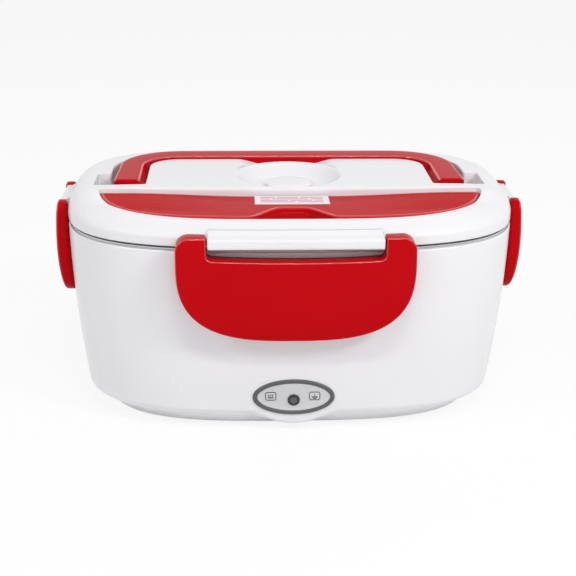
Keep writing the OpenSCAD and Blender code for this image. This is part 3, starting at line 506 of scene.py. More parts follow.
LOBE_HALF, LOBE_DROP = 23.5, 4.6
CORNER_H, CORNER_IN = 5, 6.2
BAND_SLOPE = 0.742
INLET_Z, PAD_Y = 20.0, 76.343
CUT_HALF_W, CUT_HALF_H = 15.5, 8.2
LAMP_Z, LENS_Y = 19.9, -1.6
LAMP_TILT = math.atan(DRAFT + (RIM_Z - LAMP_Z) / BOW)
PANEL_A, PANEL_B, PANEL_POINTS = 20.4, 10.1, 144
SCREWS = [(x, y) for x in (-74, 74) for y in (-42, 42)]
FEET = [(x, y) for x in (-56, 56) for y in (-42, 42)]


def lobe(x, y):
    """Share of the lamp's bulge of the lower edge: a power of a cosine along X, only on the front"""
    wave = np.abs(np.cos(np.pi * x / (2 * LOBE_HALF))) ** 1.4
    return np.where((np.abs(x) < LOBE_HALF) & (y < 0), wave, 0)


def on_lamp(points):
    """From the plane of the lamp panel to the world: X stays, Y goes up the tilted wall, Z outwards"""
    tilt = math.radians(90) + LAMP_TILT
    x, y, z = np.moveaxis(points, -1, 0)
    return np.stack([x, taper(LAMP_Z) - RIM_D / 2 + y * math.cos(tilt) - z * math.sin(tilt),
                     LAMP_Z + y * math.sin(tilt) + z * math.cos(tilt)], -1)


def on_inlet(points):
    """From the plane of the inlet to the world: X turns over, Y goes up, Z outwards to the rear"""
    x, y, z = np.moveaxis(points, -1, 0)
    return np.stack([-x, PAD_Y + z, INLET_Z + y], -1)


def on_side(points, side):
    """From (along, outwards from the rim, up) to one side of the body"""
    along, out, up = np.moveaxis(points, -1, 0)
    sign = -1 if side in ("front", "left") else 1
    if side in ("front", "rear"):
        return np.stack([sign * along, sign * (RIM_D / 2 + out), up], -1)
    return np.stack([sign * (RIM_L / 2 + out), -sign * along, up], -1)


def body_sag(along, side):
    """How far the body's outline has come in at a distance along a side"""
    half, out = (RIM_L / 2, RIM_D / 2) if side in ("front", "rear") else (RIM_D / 2, RIM_L / 2)
    return out * (1 - (1 - np.abs(along / half) ** ROUNDNESS) ** (1 / ROUNDNESS))


def pin_axis(reach):
    """Distance of a latch's pins from the rim"""
    return 1 + (reach - 1) * 0.43


def shell_rings():
    """Shell wall from the inner lip over the rim, down the bowed outside, round the lower edge and up
    inside. The lower edge dips by the lobe at the front, and its corner gets tighter there."""
    dip = lobe(*outline(0.0).T)
    low = EDGE_Z - LOBE_DROP * dip
    corner_h, corner_in = CORNER_H - 3.0 * dip, CORNER_IN - 4.0 * dip
    foot, top = low + corner_h, RIM_Z - 1.4
    rim = ((1.2, 1.5), (1.2, 1.15), (1.1, 1.0), (0.95, 0.62), (0.78, 0.42), (0.6, 0.36), (0.42, 0.44),
           (0.2, 0.7), (0.06, 1.05))
    profile = [(inset, RIM_Z - down) for inset, down in rim]
    profile += wall(0, [top + (foot - top) * share for share in np.linspace(0, 1, 35)])
    profile += bend(taper(foot), low, corner_in, corner_h, 9, 90, 10)
    lip = 13.3 + (EDGE_Z - low) * BAND_SLOPE
    profile += [(lip - 0.05, low + 0.02), (lip, low + 0.5), (13.3, EDGE_Z + 3.2)]
    profile += bend(taper(EDGE_Z + CORNER_H) + WALL + 0.4, EDGE_Z + WALL + 0.6, CORNER_IN - WALL,
                    CORNER_H - WALL, 60, 0, 3)
    return ring_stack(profile + wall(WALL, (30, 64, 85)) + [(WALL, RIM_Z - 1.5)])


def base_shell():
    """Outer shell, cut open behind the inlet, with the inlet's pad and a ledge for each latch's hook"""
    shape = Shape()
    rings = shell_rings()
    cut = ((np.abs(rings[..., 0]) < CUT_HALF_W) & (rings[..., 1] > 0)
           & (np.abs(rings[..., 2] - INLET_Z) < CUT_HALF_H))
    cut &= np.roll(cut, -1, 1)
    cut &= np.roll(cut, -1, 0)
    shape.add(rings, grid_faces(*rings.shape[:2], True)[~cut])
    # The cut goes through the outside and the inside of the wall, and a sleeve joins its two edges
    rows, columns = np.where(cut.any(1))[0], np.where(cut.any(0))[0]
    columns = np.append(columns, columns[-1] + 1)
    gap = np.where(np.diff(rows) > 1)[0][0] + 1
    edges = []
    for first, last in ((rows[0], rows[gap - 1] + 1), (rows[-1] + 1, rows[gap])):
        between_rows = np.arange(first, last, np.sign(last - first))[1:]
        edges.append(np.vstack([rings[first, columns], rings[between_rows, columns[-1]],
                                rings[last, columns[::-1]], rings[between_rows[::-1], columns[0]]]))
    shape.strip(*edges)
    pad = ((36, 20, 4, -7.5), (36, 20, 4, -0.9), (35.7, 19.7, 3.85, -0.35), (35.1, 19.1, 3.5, -0.06),
           (34.4, 18.4, 3.2, 0), (25.6, 14.6, 2, 0), (25.3, 14.3, 2, -0.3), (25.3, 14.3, 2, -7.5))
    shape.loft(on_inlet(np.array([box_ring(*sizes) for sizes in pad])), closed=True)
    for side, (*_, width, reach) in LATCHES.items():
        profile = np.array([(-1.2, 85.8), (reach - 0.25, 85.8), (reach, 86.05), (reach, 86.8),
                            (reach - 0.3, 87.2), (0.2, 89.0), (-1.2, 89.2)])
        ends = ((-width / 2, 0.8), (-width / 2 + 0.5, 1), (width / 2 - 0.5, 1), (width / 2, 0.8))
        ledge = [np.column_stack([np.full(7, along), -1.2 + (profile[:, 0] + 1.2) * trim, profile[:, 1]])
                 for along, trim in ends]
        shape.loft(on_side(np.array(ledge), side), caps=(True, True))
    return shape


def bottom_cover():
    """Cover: flat floor, soft lower edge, a band that slopes out to the shell, the rim inside it, and a
    boss round each screw"""
    edge = 13.9
    profile = [(40, 0.8), (20.4, 0.8), *bend(18.4, 0.8, 1.6, 1.6, 75, 0, 6)]
    profile += [(18.4 - (z - 2.4) * BAND_SLOPE, z) for z in (3.4, 4.8, 6.2, 7.4, 8.3)]
    profile += [(edge, 8.6), (edge, 10.6), (edge + 2.2, 10.6), (edge + 2.2, 9), (20.8, 3.0), (40, 3.0)]
    shape = Shape().loft(ring_stack(profile), caps=(True, True))
    return shape.posts(SCREWS, [(0.01, 2.6), (5, 2.6), (5, 5.0), (0.01, 5.0)], 32)


def screws():
    """Screws with a domed head and a shank"""
    profile = [(0.01, 0.55), (1.6, 0.62), (2.6, 0.95), (2.95, 1.4), (3.0, 2.8), (1.45, 2.8), (1.45, 13.8),
               (0.01, 13.8)]
    return Shape().posts(SCREWS, profile, 40)


def screw_slots():
    """Black cross in each screw head, painted shade in place of the hollow of the cross recess"""
    shape = Shape()
    for x, y in SCREWS:
        for across, deep in ((1.9, 0.32), (0.32, 1.9)):
            shape.box((x - across, y - deep, 0.5), (x + across, y + deep, 1.2), 0.12)
    return shape


def feet():
    """Round rubber feet with a soft edge and a shallow dimple"""
    profile = [(0.01, 0.25), (2.2, 0.2), (3.0, 0.02), (5.2, 0.0), (5.75, 0.15), (6, 0.55), (6, 2.15),
               (0.01, 2.15)]
    return Shape().posts(FEET, profile, 48)


def panel_rings(profile):
    """Lines parallel to the lamp panel's ellipse, each drawn in by an inset along its normals"""
    turn = np.arange(PANEL_POINTS) / PANEL_POINTS * 2 * np.pi
    around = np.stack([np.cos(turn), np.sin(turn)], -1)
    normal = around * (PANEL_B, PANEL_A)
    normal /= np.linalg.norm(normal, axis=1)[:, None]
    return [level(around * (PANEL_A, PANEL_B) - inset * normal, z) for inset, z in profile]


def bezel():
    """Dark frame of the lamp panel: soft outer edge, flat face, and a wall down to the plate"""
    profile = [(0, -1.3), (0, 0.1), (0.12, 0.35), (0.4, 0.58), (0.75, 0.7), (1.05, 0.73), (1.35, 0.7),
               (1.7, 0.58), (1.98, 0.35), (2.1, 0.1), (2.1, -0.45), (3.5, -0.5), (3.5, -1.3)]
    return Shape().loft(on_lamp(np.array(panel_rings(profile))), closed=True)


def panel_plate():
    """Silver face of the lamp panel with a bevelled edge and a hole for the lens"""
    rings = panel_rings([(2.2, -0.45), (2.2, 0.0), (2.35, 0.24), (2.7, 0.36), (3.05, 0.3), (3.3, 0.16),
                         (3.7, 0.12)])
    rings += [level(circle(3.1, PANEL_POINTS, (0, LENS_Y)), z) for z in (0.12, -0.45)]
    return Shape().loft(on_lamp(np.array(rings)), closed=True)


def lens_ring():
    """Dark round ring standing in the panel, hollow in front for the lens"""
    profile = [(0.01, -4), (2.98, -4), (2.98, 0.75), (2.9, 0.95), (2.7, 1.06), (2.35, 1.08), (2.05, 0.98),
               (1.95, 0.8), (1.95, 0.6), (0.01, 0.6)]
    return Shape().turned(profile, (0, LENS_Y, 0), 72, on_lamp)


def lens_middle():
    """Smoky round lens inside the ring"""
    profile = [(0.01, 0.5), (1.93, 0.5), (1.93, 0.72), (1.6, 0.84), (1.0, 0.92), (0.01, 0.96)]
    return Shape().turned(profile, (0, LENS_Y, 0), 72, on_lamp)


def panel_marks():
    """Two plain marks on the panel, each in a round-cornered frame: three lines over a bar, and a bowl"""
    shape = Shape()
    low, high = 0.1, 0.24
    for x in (-11.4, 10.4):
        rings = [box_ring(w, w - 0.7, r, z, 6) + (x, 0.55, 0)
                 for w, r, z in ((5.5, 1.1, low), (5.5, 1.1, high), (4.8, 0.75, high), (4.8, 0.75, low))]
        shape.loft(on_lamp(np.array(rings)), closed=True)
    bars = [((-12.8, -0.3), (-10.0, -0.3), 0.5)]
    bars += [((x, 0.4), (x, 1.5), 0.4) for x in (-12.4, -11.4, -10.4)]
    bars += [((9.0, 0.0), (11.8, 0.0), 0.4), ((9.4, -0.1), (9.9, -0.9), 0.4),
             ((11.4, -0.1), (10.9, -0.9), 0.4), ((9.8, -0.9), (11.0, -0.9), 0.4),
             ((10.4, 0.6), (10.4, 1.5), 0.4)]
    for start, end, width in bars:
        start, end = np.array(start), np.array(end)
        along = (end - start) / np.linalg.norm(end - start)
        side = np.array([-along[1], along[0]]) * width / 2
        flat = np.array([start - side, end - side, end + side, start + side])
        shape.loft(on_lamp(np.array([level(flat, z) for z in (low, high)])), caps=(True, True))
    return shape


def socket():
    """Figure-eight inlet: flange with soft edges, a mouth with two round ends, and the body behind"""
    def mouth(grow, z):
        turn = np.arange(64) / 64 * 2 * np.pi
        x, y = np.sign(np.cos(turn)) * 4.3 + (4.2 + grow) * np.cos(turn), (4.2 + grow) * np.sin(turn)
        return level(np.stack([x, y * (1 - 0.16 * np.exp(-(x / 2.2) ** 2))], -1), z)

    boxes = [box_ring(*sizes) for sizes in (
        (25, 14, 2, -17.9), (25, 14, 2, -0.2), (25.4, 14.4, 2, 0.02), (28.4, 17.4, 2.8, 0.02),
        (29, 18, 3, 0.3), (29, 18, 3, 0.8), (28.6, 17.6, 2.8, 1.1), (27.8, 16.8, 2.5, 1.2))]
    # The boxes start at their point nearest to the X axis, as the mouths do
    rings = [np.roll(loop, -int(np.argmin(np.abs(np.arctan2(loop[:, 1], loop[:, 0])))), 0)
             for loop in boxes]
    rings += [mouth(0.5, 1.2), mouth(0.12, 1.05), mouth(0, 0.7), mouth(0, -8.7)]
    return Shape().loft(on_inlet(np.array(rings)), caps=(True, True))


def well():
    """Well of the base: floor with an opening, round lower corner, bowed wall, the lip on the rim, and a
    pillar for each screw"""
    outside, inside, under, floor, outer_r, inner_r = 4.6, 6.4, 32.1, 33.9, 11.8, 10
    profile = [(33, under), (26, under)]
    profile += bend(outside + taper(under + outer_r), under, outer_r, outer_r, 90, 0, 10)
    profile += wall(outside, (55, 64, 75, 85, 93))
    profile += [(outside, 95.5), (1.5, 95.5), (1.5, LIP_Z - 0.2), (1.7, LIP_Z), (6.1, LIP_Z),
                (6.35, LIP_Z - 0.2)]
    profile += wall(inside, (96, 90, 80, 70, 60, 50))
    profile += bend(inside + taper(floor + inner_r), floor, inner_r, inner_r, 0, 90, 12)
    profile += [(26, floor), (32.8, floor), (33, floor - 0.2)]
    shape = Shape().loft(ring_stack(profile), closed=True)
    return shape.posts(SCREWS, [(0.01, 5.1), (4, 5.1), (4, 33), (0.01, 33)], 32)


def heating_plate():
    """Flat aluminium plate with a soft edge"""
    profile = [(60, 34.7), (26.2, 34.7), (26, 34.9), (26, 35.8), (26.3, 36.0), (60, 36.0)]
    return Shape().loft(ring_stack(profile), caps=(True, True))


def container():
    """Deep-drawn steel container: round lower corner, bowed wall, and a flat flange with a rolled edge"""
    outside, inside, under, floor, radius = 7, 7.8, 36.3, 37.1, 10
    profile = [(60, under)]
    profile += bend(outside + taper(under + radius), under, radius, radius, 90, 0, 14)
    profile += wall(outside, (55, 64, 75, 85, 93, 96.6))
    profile += [(6.8, 97.2), (6.4, LIP_Z), (2.2, LIP_Z), (1.5, 97.5), (1.0, 97.54), (0.85, 97.62),
                (0.8, 97.8), (0.85, 97.98), (1.0, 98.06), (1.3, FLANGE_Z), (6.6, FLANGE_Z), (7.4, 97.9),
                (inside, 97.2)]
    profile += wall(inside, (93, 85, 75, 64, 55))
    profile += bend(inside + taper(under + radius), floor, radius - 0.8, radius - 0.8, 0, 90, 14)
    profile += [(26, floor), (27, floor + 0.25), (29, floor + 0.3), (60, floor + 0.3)]
    return Shape().loft(ring_stack(profile), caps=(True, True))


# Lid

CROWN_FLAT, CROWN_FALL, SIDE_FLAT, SIDE_FALL = 24, 0.0012, 60, 0.0003
SHELF_Y, STEP, STEP_FLAT, STEP_END, STEP_CLIMB = -26.2, 2.9, 58.0, 94.0, 19.0
STEP_EDGE, STEP_FOOT, STEP_WALL = 2.2, 0.4, 0.2
DISH_Y, DISH_R, DISH_FLOOR_R, DISH_DEPTH = 2.0, 27.3, 13.8, 6.6
SPOON_L, SPOON_D, SPOON_Y, SPOON_BOW = 193.0, 38.7, -26.8, 0.6
SPOON_TOP, SPOON_RISE = 110.05, 1.8
SCALLOP_HALF, SCALLOP_D, SCALLOP_FLAT = 22.5, 16.6, 0.22
HANDLE_L, HANDLE_BACK, HANDLE_R, HANDLE_TOP, HANDLE_T = 179.6, 52.0, 32.0, 115.4, 5.8
ARM_W, GRIP_W = 12.5, 13.0
ARM_FLARE, ARM_SPLAY, ARM_FRONT = 2.6, 0.9, -14.0
CHANNEL_OUT, CHANNEL_IN, CHANNEL_FRONT = 3.8, 3.1, -17.5
NOTCH_X, NOTCH_BACK = 100.6, 6.5
POCKET_Z, COMPARTMENT_Z, CHANNEL_Z, PIVOT_Z, NOTCH_Z = 107.7, 103.0, 105.4, 104.45, 103.6
LID_R, PANEL_Z, VENT_HOLE_R, RECESS_WALL = 12.0, 101.2, 5, 0.12


def spoon_line():
    """Plan of the spoon cover: a slightly bowed rear edge and a front edge |x/a|^4 + |y/b|^1.75 = 1, with
    round tips"""
    half = SPOON_L / 2
    x = np.linspace(-half, half, 161)
    rear = np.stack([x, SPOON_Y + SPOON_BOW * (x / half) ** 2], -1)
    turn = np.radians(np.linspace(0, 180, 300)[1:-1])
    x = half * signed_power(np.cos(turn), 2 / 4)
    front = np.stack([x, SPOON_Y + SPOON_BOW * (x / half) ** 2 - SPOON_D * np.sin(turn) ** (2 / 1.75)], -1)
    return resample(offset_round(ccw(np.vstack([rear, front])), 2.5), 293)


def spoon_top(x, y):
    """Height of the spoon cover: level in the middle, and its rear corners rise with the lid"""
    ends = smooth_step((np.abs(x) - 20) / 62)
    return SPOON_TOP + SPOON_RISE * ends * (1 - np.clip((-27 - y) / 26, 0, 1))


def channel_line():
    """Plan of the recess of the handle: a U with a notch beside each front end"""
    half, back, r = HANDLE_L / 2 + CHANNEL_OUT, HANDLE_BACK + 1.5, HANDLE_R + CHANNEL_OUT
    inner, inner_back, inner_r = HANDLE_L / 2 - ARM_W - CHANNEL_IN, 37.76, 16.4
    soft = 1.2
    outer_side = np.vstack([
        arc((inner + soft, CHANNEL_FRONT + soft), soft, 180, 270, 5),
        arc((NOTCH_X - soft, CHANNEL_FRONT + soft), soft, -90, 0, 5),
        arc((NOTCH_X - soft, NOTCH_BACK - soft), soft, 0, 90, 5),
        arc((half + soft, NOTCH_BACK + soft), soft, -90, -180, 5),
        arc((half - r, back - r), r, 0, 90, 40)])
    inner_side = arc((inner - inner_r, inner_back - inner_r), inner_r, 0, 90, 24)
    return even_line(np.vstack([outer_side, mirrored(outer_side), inner_side * (-1, 1), inner_side[::-1]]))


def scallop_front(x):
    """Edge of the finger bite: a flat middle and a smooth step down to the front edge of the cover"""
    share = (np.abs(x) / SCALLOP_HALF - SCALLOP_FLAT) / (1 - SCALLOP_FLAT)
    return np.where(share < 1, SPOON_Y - SPOON_D + SCALLOP_D * (1 - smooth_step(share)), -1e3)


def compartment_line(spoon):
    """Plan of the compartment floor: the cover's line drawn in by a ledge, opened out under its bite"""
    inner, outer = clean_offset(spoon, -2.9), clean_offset(spoon, 0.55)
    front = SPOON_Y - 8
    bite = outer[(np.abs(outer[:, 0]) < SCALLOP_HALF + 2) & (outer[:, 1] < front)]
    bite = bite[np.argsort(bite[:, 0])]
    rest = inner[(np.abs(inner[:, 0]) >= SCALLOP_HALF + 2.5) | (inner[:, 1] >= front)]
    beside = (rest[:, 1] < front) & (rest[:, 0] > 0) & (rest[:, 0] < SCALLOP_HALF + 6)
    rest = np.roll(rest, -np.argmax(np.where(beside, rest[:, 0], -1e4)), 0)
    return even_line(ccw(np.vstack([bite, rest])))


def crown(x, y):
    """Height of the lid's top: a flat middle that falls off by a square law to the sides, less the front
    step, which has a round edge, a wall and a small foot"""
    top = CROWN_Z - CROWN_FALL * np.maximum(0, np.abs(y) - CROWN_FLAT) ** 2
    top = top - SIDE_FALL * np.maximum(0, np.abs(x) - SIDE_FLAT) ** 2
    ends = smooth_step((np.abs(x) - STEP_FLAT) / (STEP_END - STEP_FLAT))
    fade = 1 - ends * smooth_step(1 - (SHELF_Y - y) / STEP_CLIMB)
    back = y - SHELF_Y
    edge = round_fall(back, STEP_EDGE)
    upright = STEP_EDGE + (STEP - STEP_EDGE - STEP_FOOT) * np.clip(-back / STEP_WALL, 0, 1)
    foot = STEP - round_fall(-back - STEP_WALL, STEP_FOOT)
    fall = np.where(back >= 0, edge, np.where(back > -STEP_WALL, upright, foot))
    fall = np.where(back > STEP_EDGE, 0, np.where(back < -STEP_WALL - STEP_FOOT, STEP, fall))
    return top - fade * fall


def recess(distance, top, floor, soft, foot):
    """Height over a recess with a round upper edge, an almost upright wall and a hollow foot, by the
    distance from its line"""
    edge = top - round_fall(distance, soft)
    upright = top - soft + (floor + foot - top + soft) * np.clip(-distance / RECESS_WALL, 0, 1)
    bowl = floor + round_fall(-distance - RECESS_WALL, foot)
    height = np.where(distance >= 0, edge, np.where(distance > -RECESS_WALL, upright, bowl))
    return np.where(distance >= soft, np.inf, height)


def edge_lines(line, soft, foot):
    """Lines that a recess needs in its plan: its upper fillet, its wall and its foot"""
    outside = [soft + 0.4, soft, soft * 0.62, soft * 0.3, soft * 0.1]
    inside = [RECESS_WALL + d for d in (0, foot * 0.12, foot * 0.4, foot, foot + 0.4)]
    return [clean_offset(line, d) for d in outside] + [line] + [clean_offset(line, -d) for d in inside]


def lid_height(x, y, recesses):
    """Top surface of the lid: the lowest of the crown, the finger bowl, its scoop and the recesses"""
    plan = np.stack([x, y], -1)
    top = crown(x, y)
    way = np.hypot(x, y - DISH_Y)
    share = np.clip((way - DISH_FLOOR_R) / (DISH_R - DISH_FLOOR_R), 0, 1.6)
    bowl = np.where(way < DISH_R + 6, CROWN_Z - DISH_DEPTH + DISH_DEPTH * share ** 2.4, top + 50)
    height = smooth_min(top, bowl, 0.9)
    floor = CROWN_Z - 3.6 + 3.6 / 13 * np.maximum(0, np.abs(x) - 13)
    ridge = CROWN_Z + 0.25 - 2.0 * (way - DISH_R - 1.6)
    scoop = -smooth_min(-floor, -ridge, 0.9)
    height = smooth_min(height, np.where((y > DISH_Y + 8) & (y < 40), scoop, top + 50), 0.9)
    for line, floor, soft, foot in recesses:
        height = np.minimum(height, recess(signed_distance(plan, line), top, floor, soft, foot))
    return height


def lid_shell():
    """Shoulder and skirt as rings, the top as a height over a plan of triangles, a flat closed underside,
    and the bars that the latches hang from"""
    spoon = spoon_line()
    recesses = [(clean_offset(spoon, 0.6), POCKET_Z, 0.45, 0.3),
                (compartment_line(spoon), COMPARTMENT_Z, 0.4, 0.8), (channel_line(), CHANNEL_Z, 0.7, 0.6)]
    for low, high, back, floor, soft, foot in ((74.2, 93.6, -2, PIVOT_Z, 0.3, 0.5),
                                               (89.8, NOTCH_X, NOTCH_BACK, NOTCH_Z, 0.7, 0.6)):
        recesses += [(even_line(box_loop(x0, x1, CHANNEL_FRONT, back, 0.9)), floor, soft, foot)
                     for x0, x1 in ((low, high), (-high, -low))]
    lines = [line for plan, _, soft, foot in recesses for line in edge_lines(plan, soft, foot)]
    bowl_rings = (5.5, 13.8, 15.5, 17.5, 19.5, 21.5, 23.3, 24.9, 26.2, 27.0, 27.6, 28.2, 28.8, 29.4)
    lines += [circle(r, 96, (0, DISH_Y)) for r in bowl_rings]
    x = np.linspace(-96, 96, 129)
    # Each loop holds two of the lines that follow the step
    for a, b in ((2.8, 2.2), (1.5, 0.9), (0.4, 0.1), (0.0, -0.2), (-0.32, -0.7)):
        lines.append(np.vstack([np.stack([x, np.full_like(x, SHELF_Y + a)], -1),
                                np.stack([x[::-1], np.full_like(x, SHELF_Y + b)], -1)]))

    def height(x, y):
        return lid_height(x, y, recesses)

    border = outline(LID_R)
    hole = circle(VENT_HOLE_R, 64, (0, DISH_Y))
    plan, triangles = relief(border, lines, 2.4, 0.9, [hole])
    normals = slope_normals(height, *plan.T, 0.6)
    normals[signed_distance(plan, border) > -1e-3] = 0
    shape = Shape().add(np.column_stack([plan, height(*plan.T)]), triangles, normals)
    rings = [np.column_stack([border, height(*border.T)])]
    for turn in np.radians(np.linspace(90, 0, 22)[1:]):
        flat = outline(LID_R * (1 - math.cos(turn)))
        rings.append(np.column_stack([flat, SHOULDER_Z + (crown(*flat.T) - SHOULDER_Z) * math.sin(turn)]))
    rings += list(ring_stack([(0, 101.8), (0, 100.7), (0, 99.8), (0.08, SKIRT_Z + 0.4),
                              (0.28, SKIRT_Z + 0.12), (0.6, SKIRT_Z), (2.2, SKIRT_Z), (2.2, PANEL_Z)]))
    shape.loft(rings)
    under = level(hole, PANEL_Z)
    shape.strip(rings[-1], under)
    shape.loft([under, np.column_stack([hole, height(*hole.T)])])
    for side, (width, ear, reach, *_) in LATCHES.items():
        hinge_bar(shape, side, width / 2 - ear - 0.7, reach)
    return shape


def hinge_bar(shape, side, half, reach):
    """Bar that a latch hangs from: a profile carried along the side, whose inner points follow the lid's
    outline. Each end has soft edges and a blind bore for the latch pin."""
    out, low, high, round_r, bore_r, bore_depth = reach - 1.6, 100.1, 105.3, 1.2, 1.36, 4.2
    profile = np.vstack([[(-2.2, low + 0.02), (out - 3.2, low)],
                         arc((out - round_r, low + round_r), round_r, -90, 0, 8),
                         arc((out - round_r, high - round_r), round_r, 0, 80, 9),
                         [(out - 3.2, high + 0.15), (0.3, high + 0.62), (-0.3, high + 0.85),
                          (-0.65, high + 1.15), (-0.95, high + 1.6), (-1.6, high + 1.8),
                          (-3.2, high + 1.9)]])
    follow = np.clip((2.0 - profile[:, 0]) / 2.0, 0, 1)
    ends = np.array([0, 0.12, 0.4])
    along = np.concatenate([ends - half, np.linspace(-half + 1.2, half - 1.2, 25), half - ends[::-1]])
    soft = np.zeros(len(along))
    soft[[0, -1]], soft[[1, -2]] = 0.4, 0.15
    centre = np.array([pin_axis(reach), HINGE_Z])
    away = profile - centre
    shrink = 1 - soft[:, None] / np.linalg.norm(away, axis=1)
    rings = np.empty((len(along), len(profile), 3))
    rings[..., 0] = along[:, None]
    rings[..., 1] = centre[0] + away[:, 0] * shrink - follow * body_sag(along, side)[:, None]
    rings[..., 2] = centre[1] + away[:, 1] * shrink
    bore = centre + bore_r * on_circle(np.arctan2(away[:, 1], away[:, 0]), 1, (0, 0))
    for end, inwards in ((0, 1), (-1, -1)):
        mouth = np.column_stack([rings[end, :, 0], bore])
        shape.loft(on_side(np.array([rings[end], mouth, mouth + (inwards * bore_depth, 0, 0)]), side),
                   caps=(False, True))
    shape.loft(on_side(rings, side))


def handle():
    """Carry handle: a profile with a flat top, soft edges and a flared inner side, carried along a U.
    The outer and the inner side of the U are matched point by point."""
    def track(half, back, r):
        side = np.stack([np.full(18, half), np.linspace(ARM_FRONT, back - r, 18)], -1)
        grip = np.stack([np.linspace(half - r, 0, 16), np.full(16, back)], -1)
        right = np.vstack([side, arc((half - r, back - r), r, 0, 90, 26)[1:], grip[1:]])
        return np.vstack([right, mirrored(right)[1:]])

    outer = track(HANDLE_L / 2, HANDLE_BACK, HANDLE_R)
    outer[:, 0] += np.sign(outer[:, 0]) * ARM_SPLAY * smooth_step((20 - outer[:, 1]) / 34)
    across = track(HANDLE_L / 2 - ARM_W, HANDLE_BACK - GRIP_W, HANDLE_R - ARM_W) - outer
    width = np.linalg.norm(across, axis=1)[:, None]
    low, top, soft, end = HANDLE_TOP - HANDLE_T, HANDLE_TOP, 0.95, ARM_FRONT + 0.9
    # Profile: (share of the width, extra way inwards, height); the flare is less under the grip
    steps = np.radians(np.linspace(0, 90, 7))
    profile = [(0, 0.5, low), (0, 0.15, low + 0.15), (0, 0, low + 0.5)]
    profile += [(0, soft * (1 - math.cos(t)), top - soft + soft * math.sin(t)) for t in steps]
    profile += [(0.3, 0, top), (0.6, 0, top)]
    profile += [(1, -soft * (1 - math.cos(t)), top - soft + soft * math.sin(t)) for t in steps[::-1]]
    profile += [(1, 0.15, top - 1.7), (1, 0.5, top - 2.6), (1, 1.05, top - 3.5), (1, 1.75, top - 4.4),
                (1, 2.3, top - 5.0), (1, ARM_FLARE, top - 5.4), (1, ARM_FLARE - 0.1, low)]
    share, extra, height = np.array(profile).T
    flare = 1 - 0.6 * smooth_step((outer[:, 1] - 30) / 20)
    way = share * width + np.where((share == 1) & (extra > 0), extra * flare[:, None], extra)
    rings = np.empty((len(outer), len(profile), 3))
    rings[..., :2] = outer[:, None] + (across / width)[:, None] * way[..., None]
    rings[..., 2] = height
    rings[[0, -1], :, 1] = end

    def closing(first):
        """Rings that draw the profile in round the middle of the arm's end"""
        away = (first - (first[:, 0].mean(), 0, (low + top) / 2)) * (1, 0, 1)
        away /= np.linalg.norm(away, axis=1)[:, None]
        steps = ((0.45, 0.12), (0.75, 0.35), (0.9, 0.8))
        return [first - away * inset - (0, deep, 0) for deep, inset in steps]

    rings = np.array([*closing(rings[0])[::-1], *rings, *closing(rings[-1])])
    # Faces on the upper rounded edges are marked for the second material, a painted highlight
    near_top = (height > top - soft * 0.9) & (height < top - soft * 0.02)
    marks = np.broadcast_to(near_top | np.roll(near_top, -1), (len(rings) - 1, len(profile))).astype(int)
    shape = Shape().loft(rings, caps=(True, True), marks=marks.ravel())
    for side in (-1, 1):
        profile = [(0.01, 0), (1.7, 0), (2, 0.3), (2, 9.2), (0.01, 9.2)]
        shape.cross_pin(side, 70.4, (-10, 111.0), profile, 40)
    return shape


def bitten_line():
    """Plan of the spoon cover with the finger bite cut out and its corners rounded"""
    spoon = spoon_line()
    x, y = spoon.T
    keep = spoon[(y >= SPOON_Y - 8) | (y >= scallop_front(x)) | (np.abs(x) >= SCALLOP_HALF)]
    x = np.linspace(-SCALLOP_HALF, SCALLOP_HALF, 61)
    bite = np.stack([x, scallop_front(x)], -1)
    bite[[0, -1], 1] = SPOON_Y - SPOON_D
    bite = bite[signed_distance(bite, spoon) < -0.05]
    right = (keep[:, 0] > 0) & (keep[:, 1] < SPOON_Y - 20)
    keep = np.roll(keep, -np.argmax(np.where(right, -keep[:, 0], -1e4)), 0)
    return resample(offset_round(ccw(np.vstack([keep, bite])), 0.8), 640)


def spoon_cover():
    """Spoon cover: a top that is a height by the distance from its edge, with a round upper edge; a rim,
    a wall that hangs from the finger bite, and two tabs behind"""
    line = bitten_line()
    soft, fall, low = 2.4, 2.0, 107.8
    insets = [*(soft * (1 - np.cos(np.radians([12, 24, 36, 48, 60, 75, 90])))), soft + 0.4, soft + 1.0]
    plan, triangles = relief(line, [clean_offset(line, -d) for d in insets], 3.0, 1.0)

    def height(x, y):
        deep = -signed_distance(np.stack([x, y], -1), line)
        bevel = 0.15 + 0.85 * smooth_step((SPOON_Y - 1.5 - y) / 4)
        edge = fall * bevel * round_fall(deep, soft) / soft
        return spoon_top(x, y) - edge + 0.15 * smooth_step(deep / 16)

    # Faces in the band of the rounded edge are marked for the second material, a painted highlight
    deep = -signed_distance(plan[triangles].mean(1), line)
    marks = ((deep > soft * 0.25) & (deep < soft * 0.8)).astype(int)
    normals = slope_normals(height, *plan.T, 1.6, 0.03)
    shape = Shape().add(np.column_stack([plan, height(*plan.T)]), triangles, normals, marks)
    rings = [np.column_stack([line, height(*line.T)]), level(line, low + 0.2),
             level(offset(line, -0.25), low)]
    shape.loft(rings, caps=(False, True))
    x = np.linspace(-20.8, 20.8, 61)
    hung = np.stack([x, scallop_front(x) + 0.05], -1)
    loop = np.vstack([hung, hung[::-1] + (0, 1.4)])
    shape.loft([level(loop, z) for z in (108.3, 103.5, 103.35)], caps=(True, True))
    back = SPOON_Y + SPOON_BOW * (60 / 97) ** 2 - 3.8
    for x in (-60, 60):
        shape.box((x - 5, back - 1.6, 105.0), (x + 5, back, 108.4), 0.4)
    return shape


def flat_bars(bars, low, high):
    """Thin flat bars on the spoon cover, each (x0, x1, y0, y1)"""
    shape = Shape()
    for x0, x1, y0, y1 in bars:
        flat = np.array([(x0, y0), (x1, y0), (x1, y1), (x0, y1)])
        shape.loft([np.column_stack([flat, spoon_top(*flat.T) + z]) for z in (low, high)],
                   caps=(True, True))
    return shape


def label():
    """Blank paper label behind the finger bite"""
    return flat_bars([(-18.6, 18.8, -43.6, -28.0)], 0.05, 0.19)


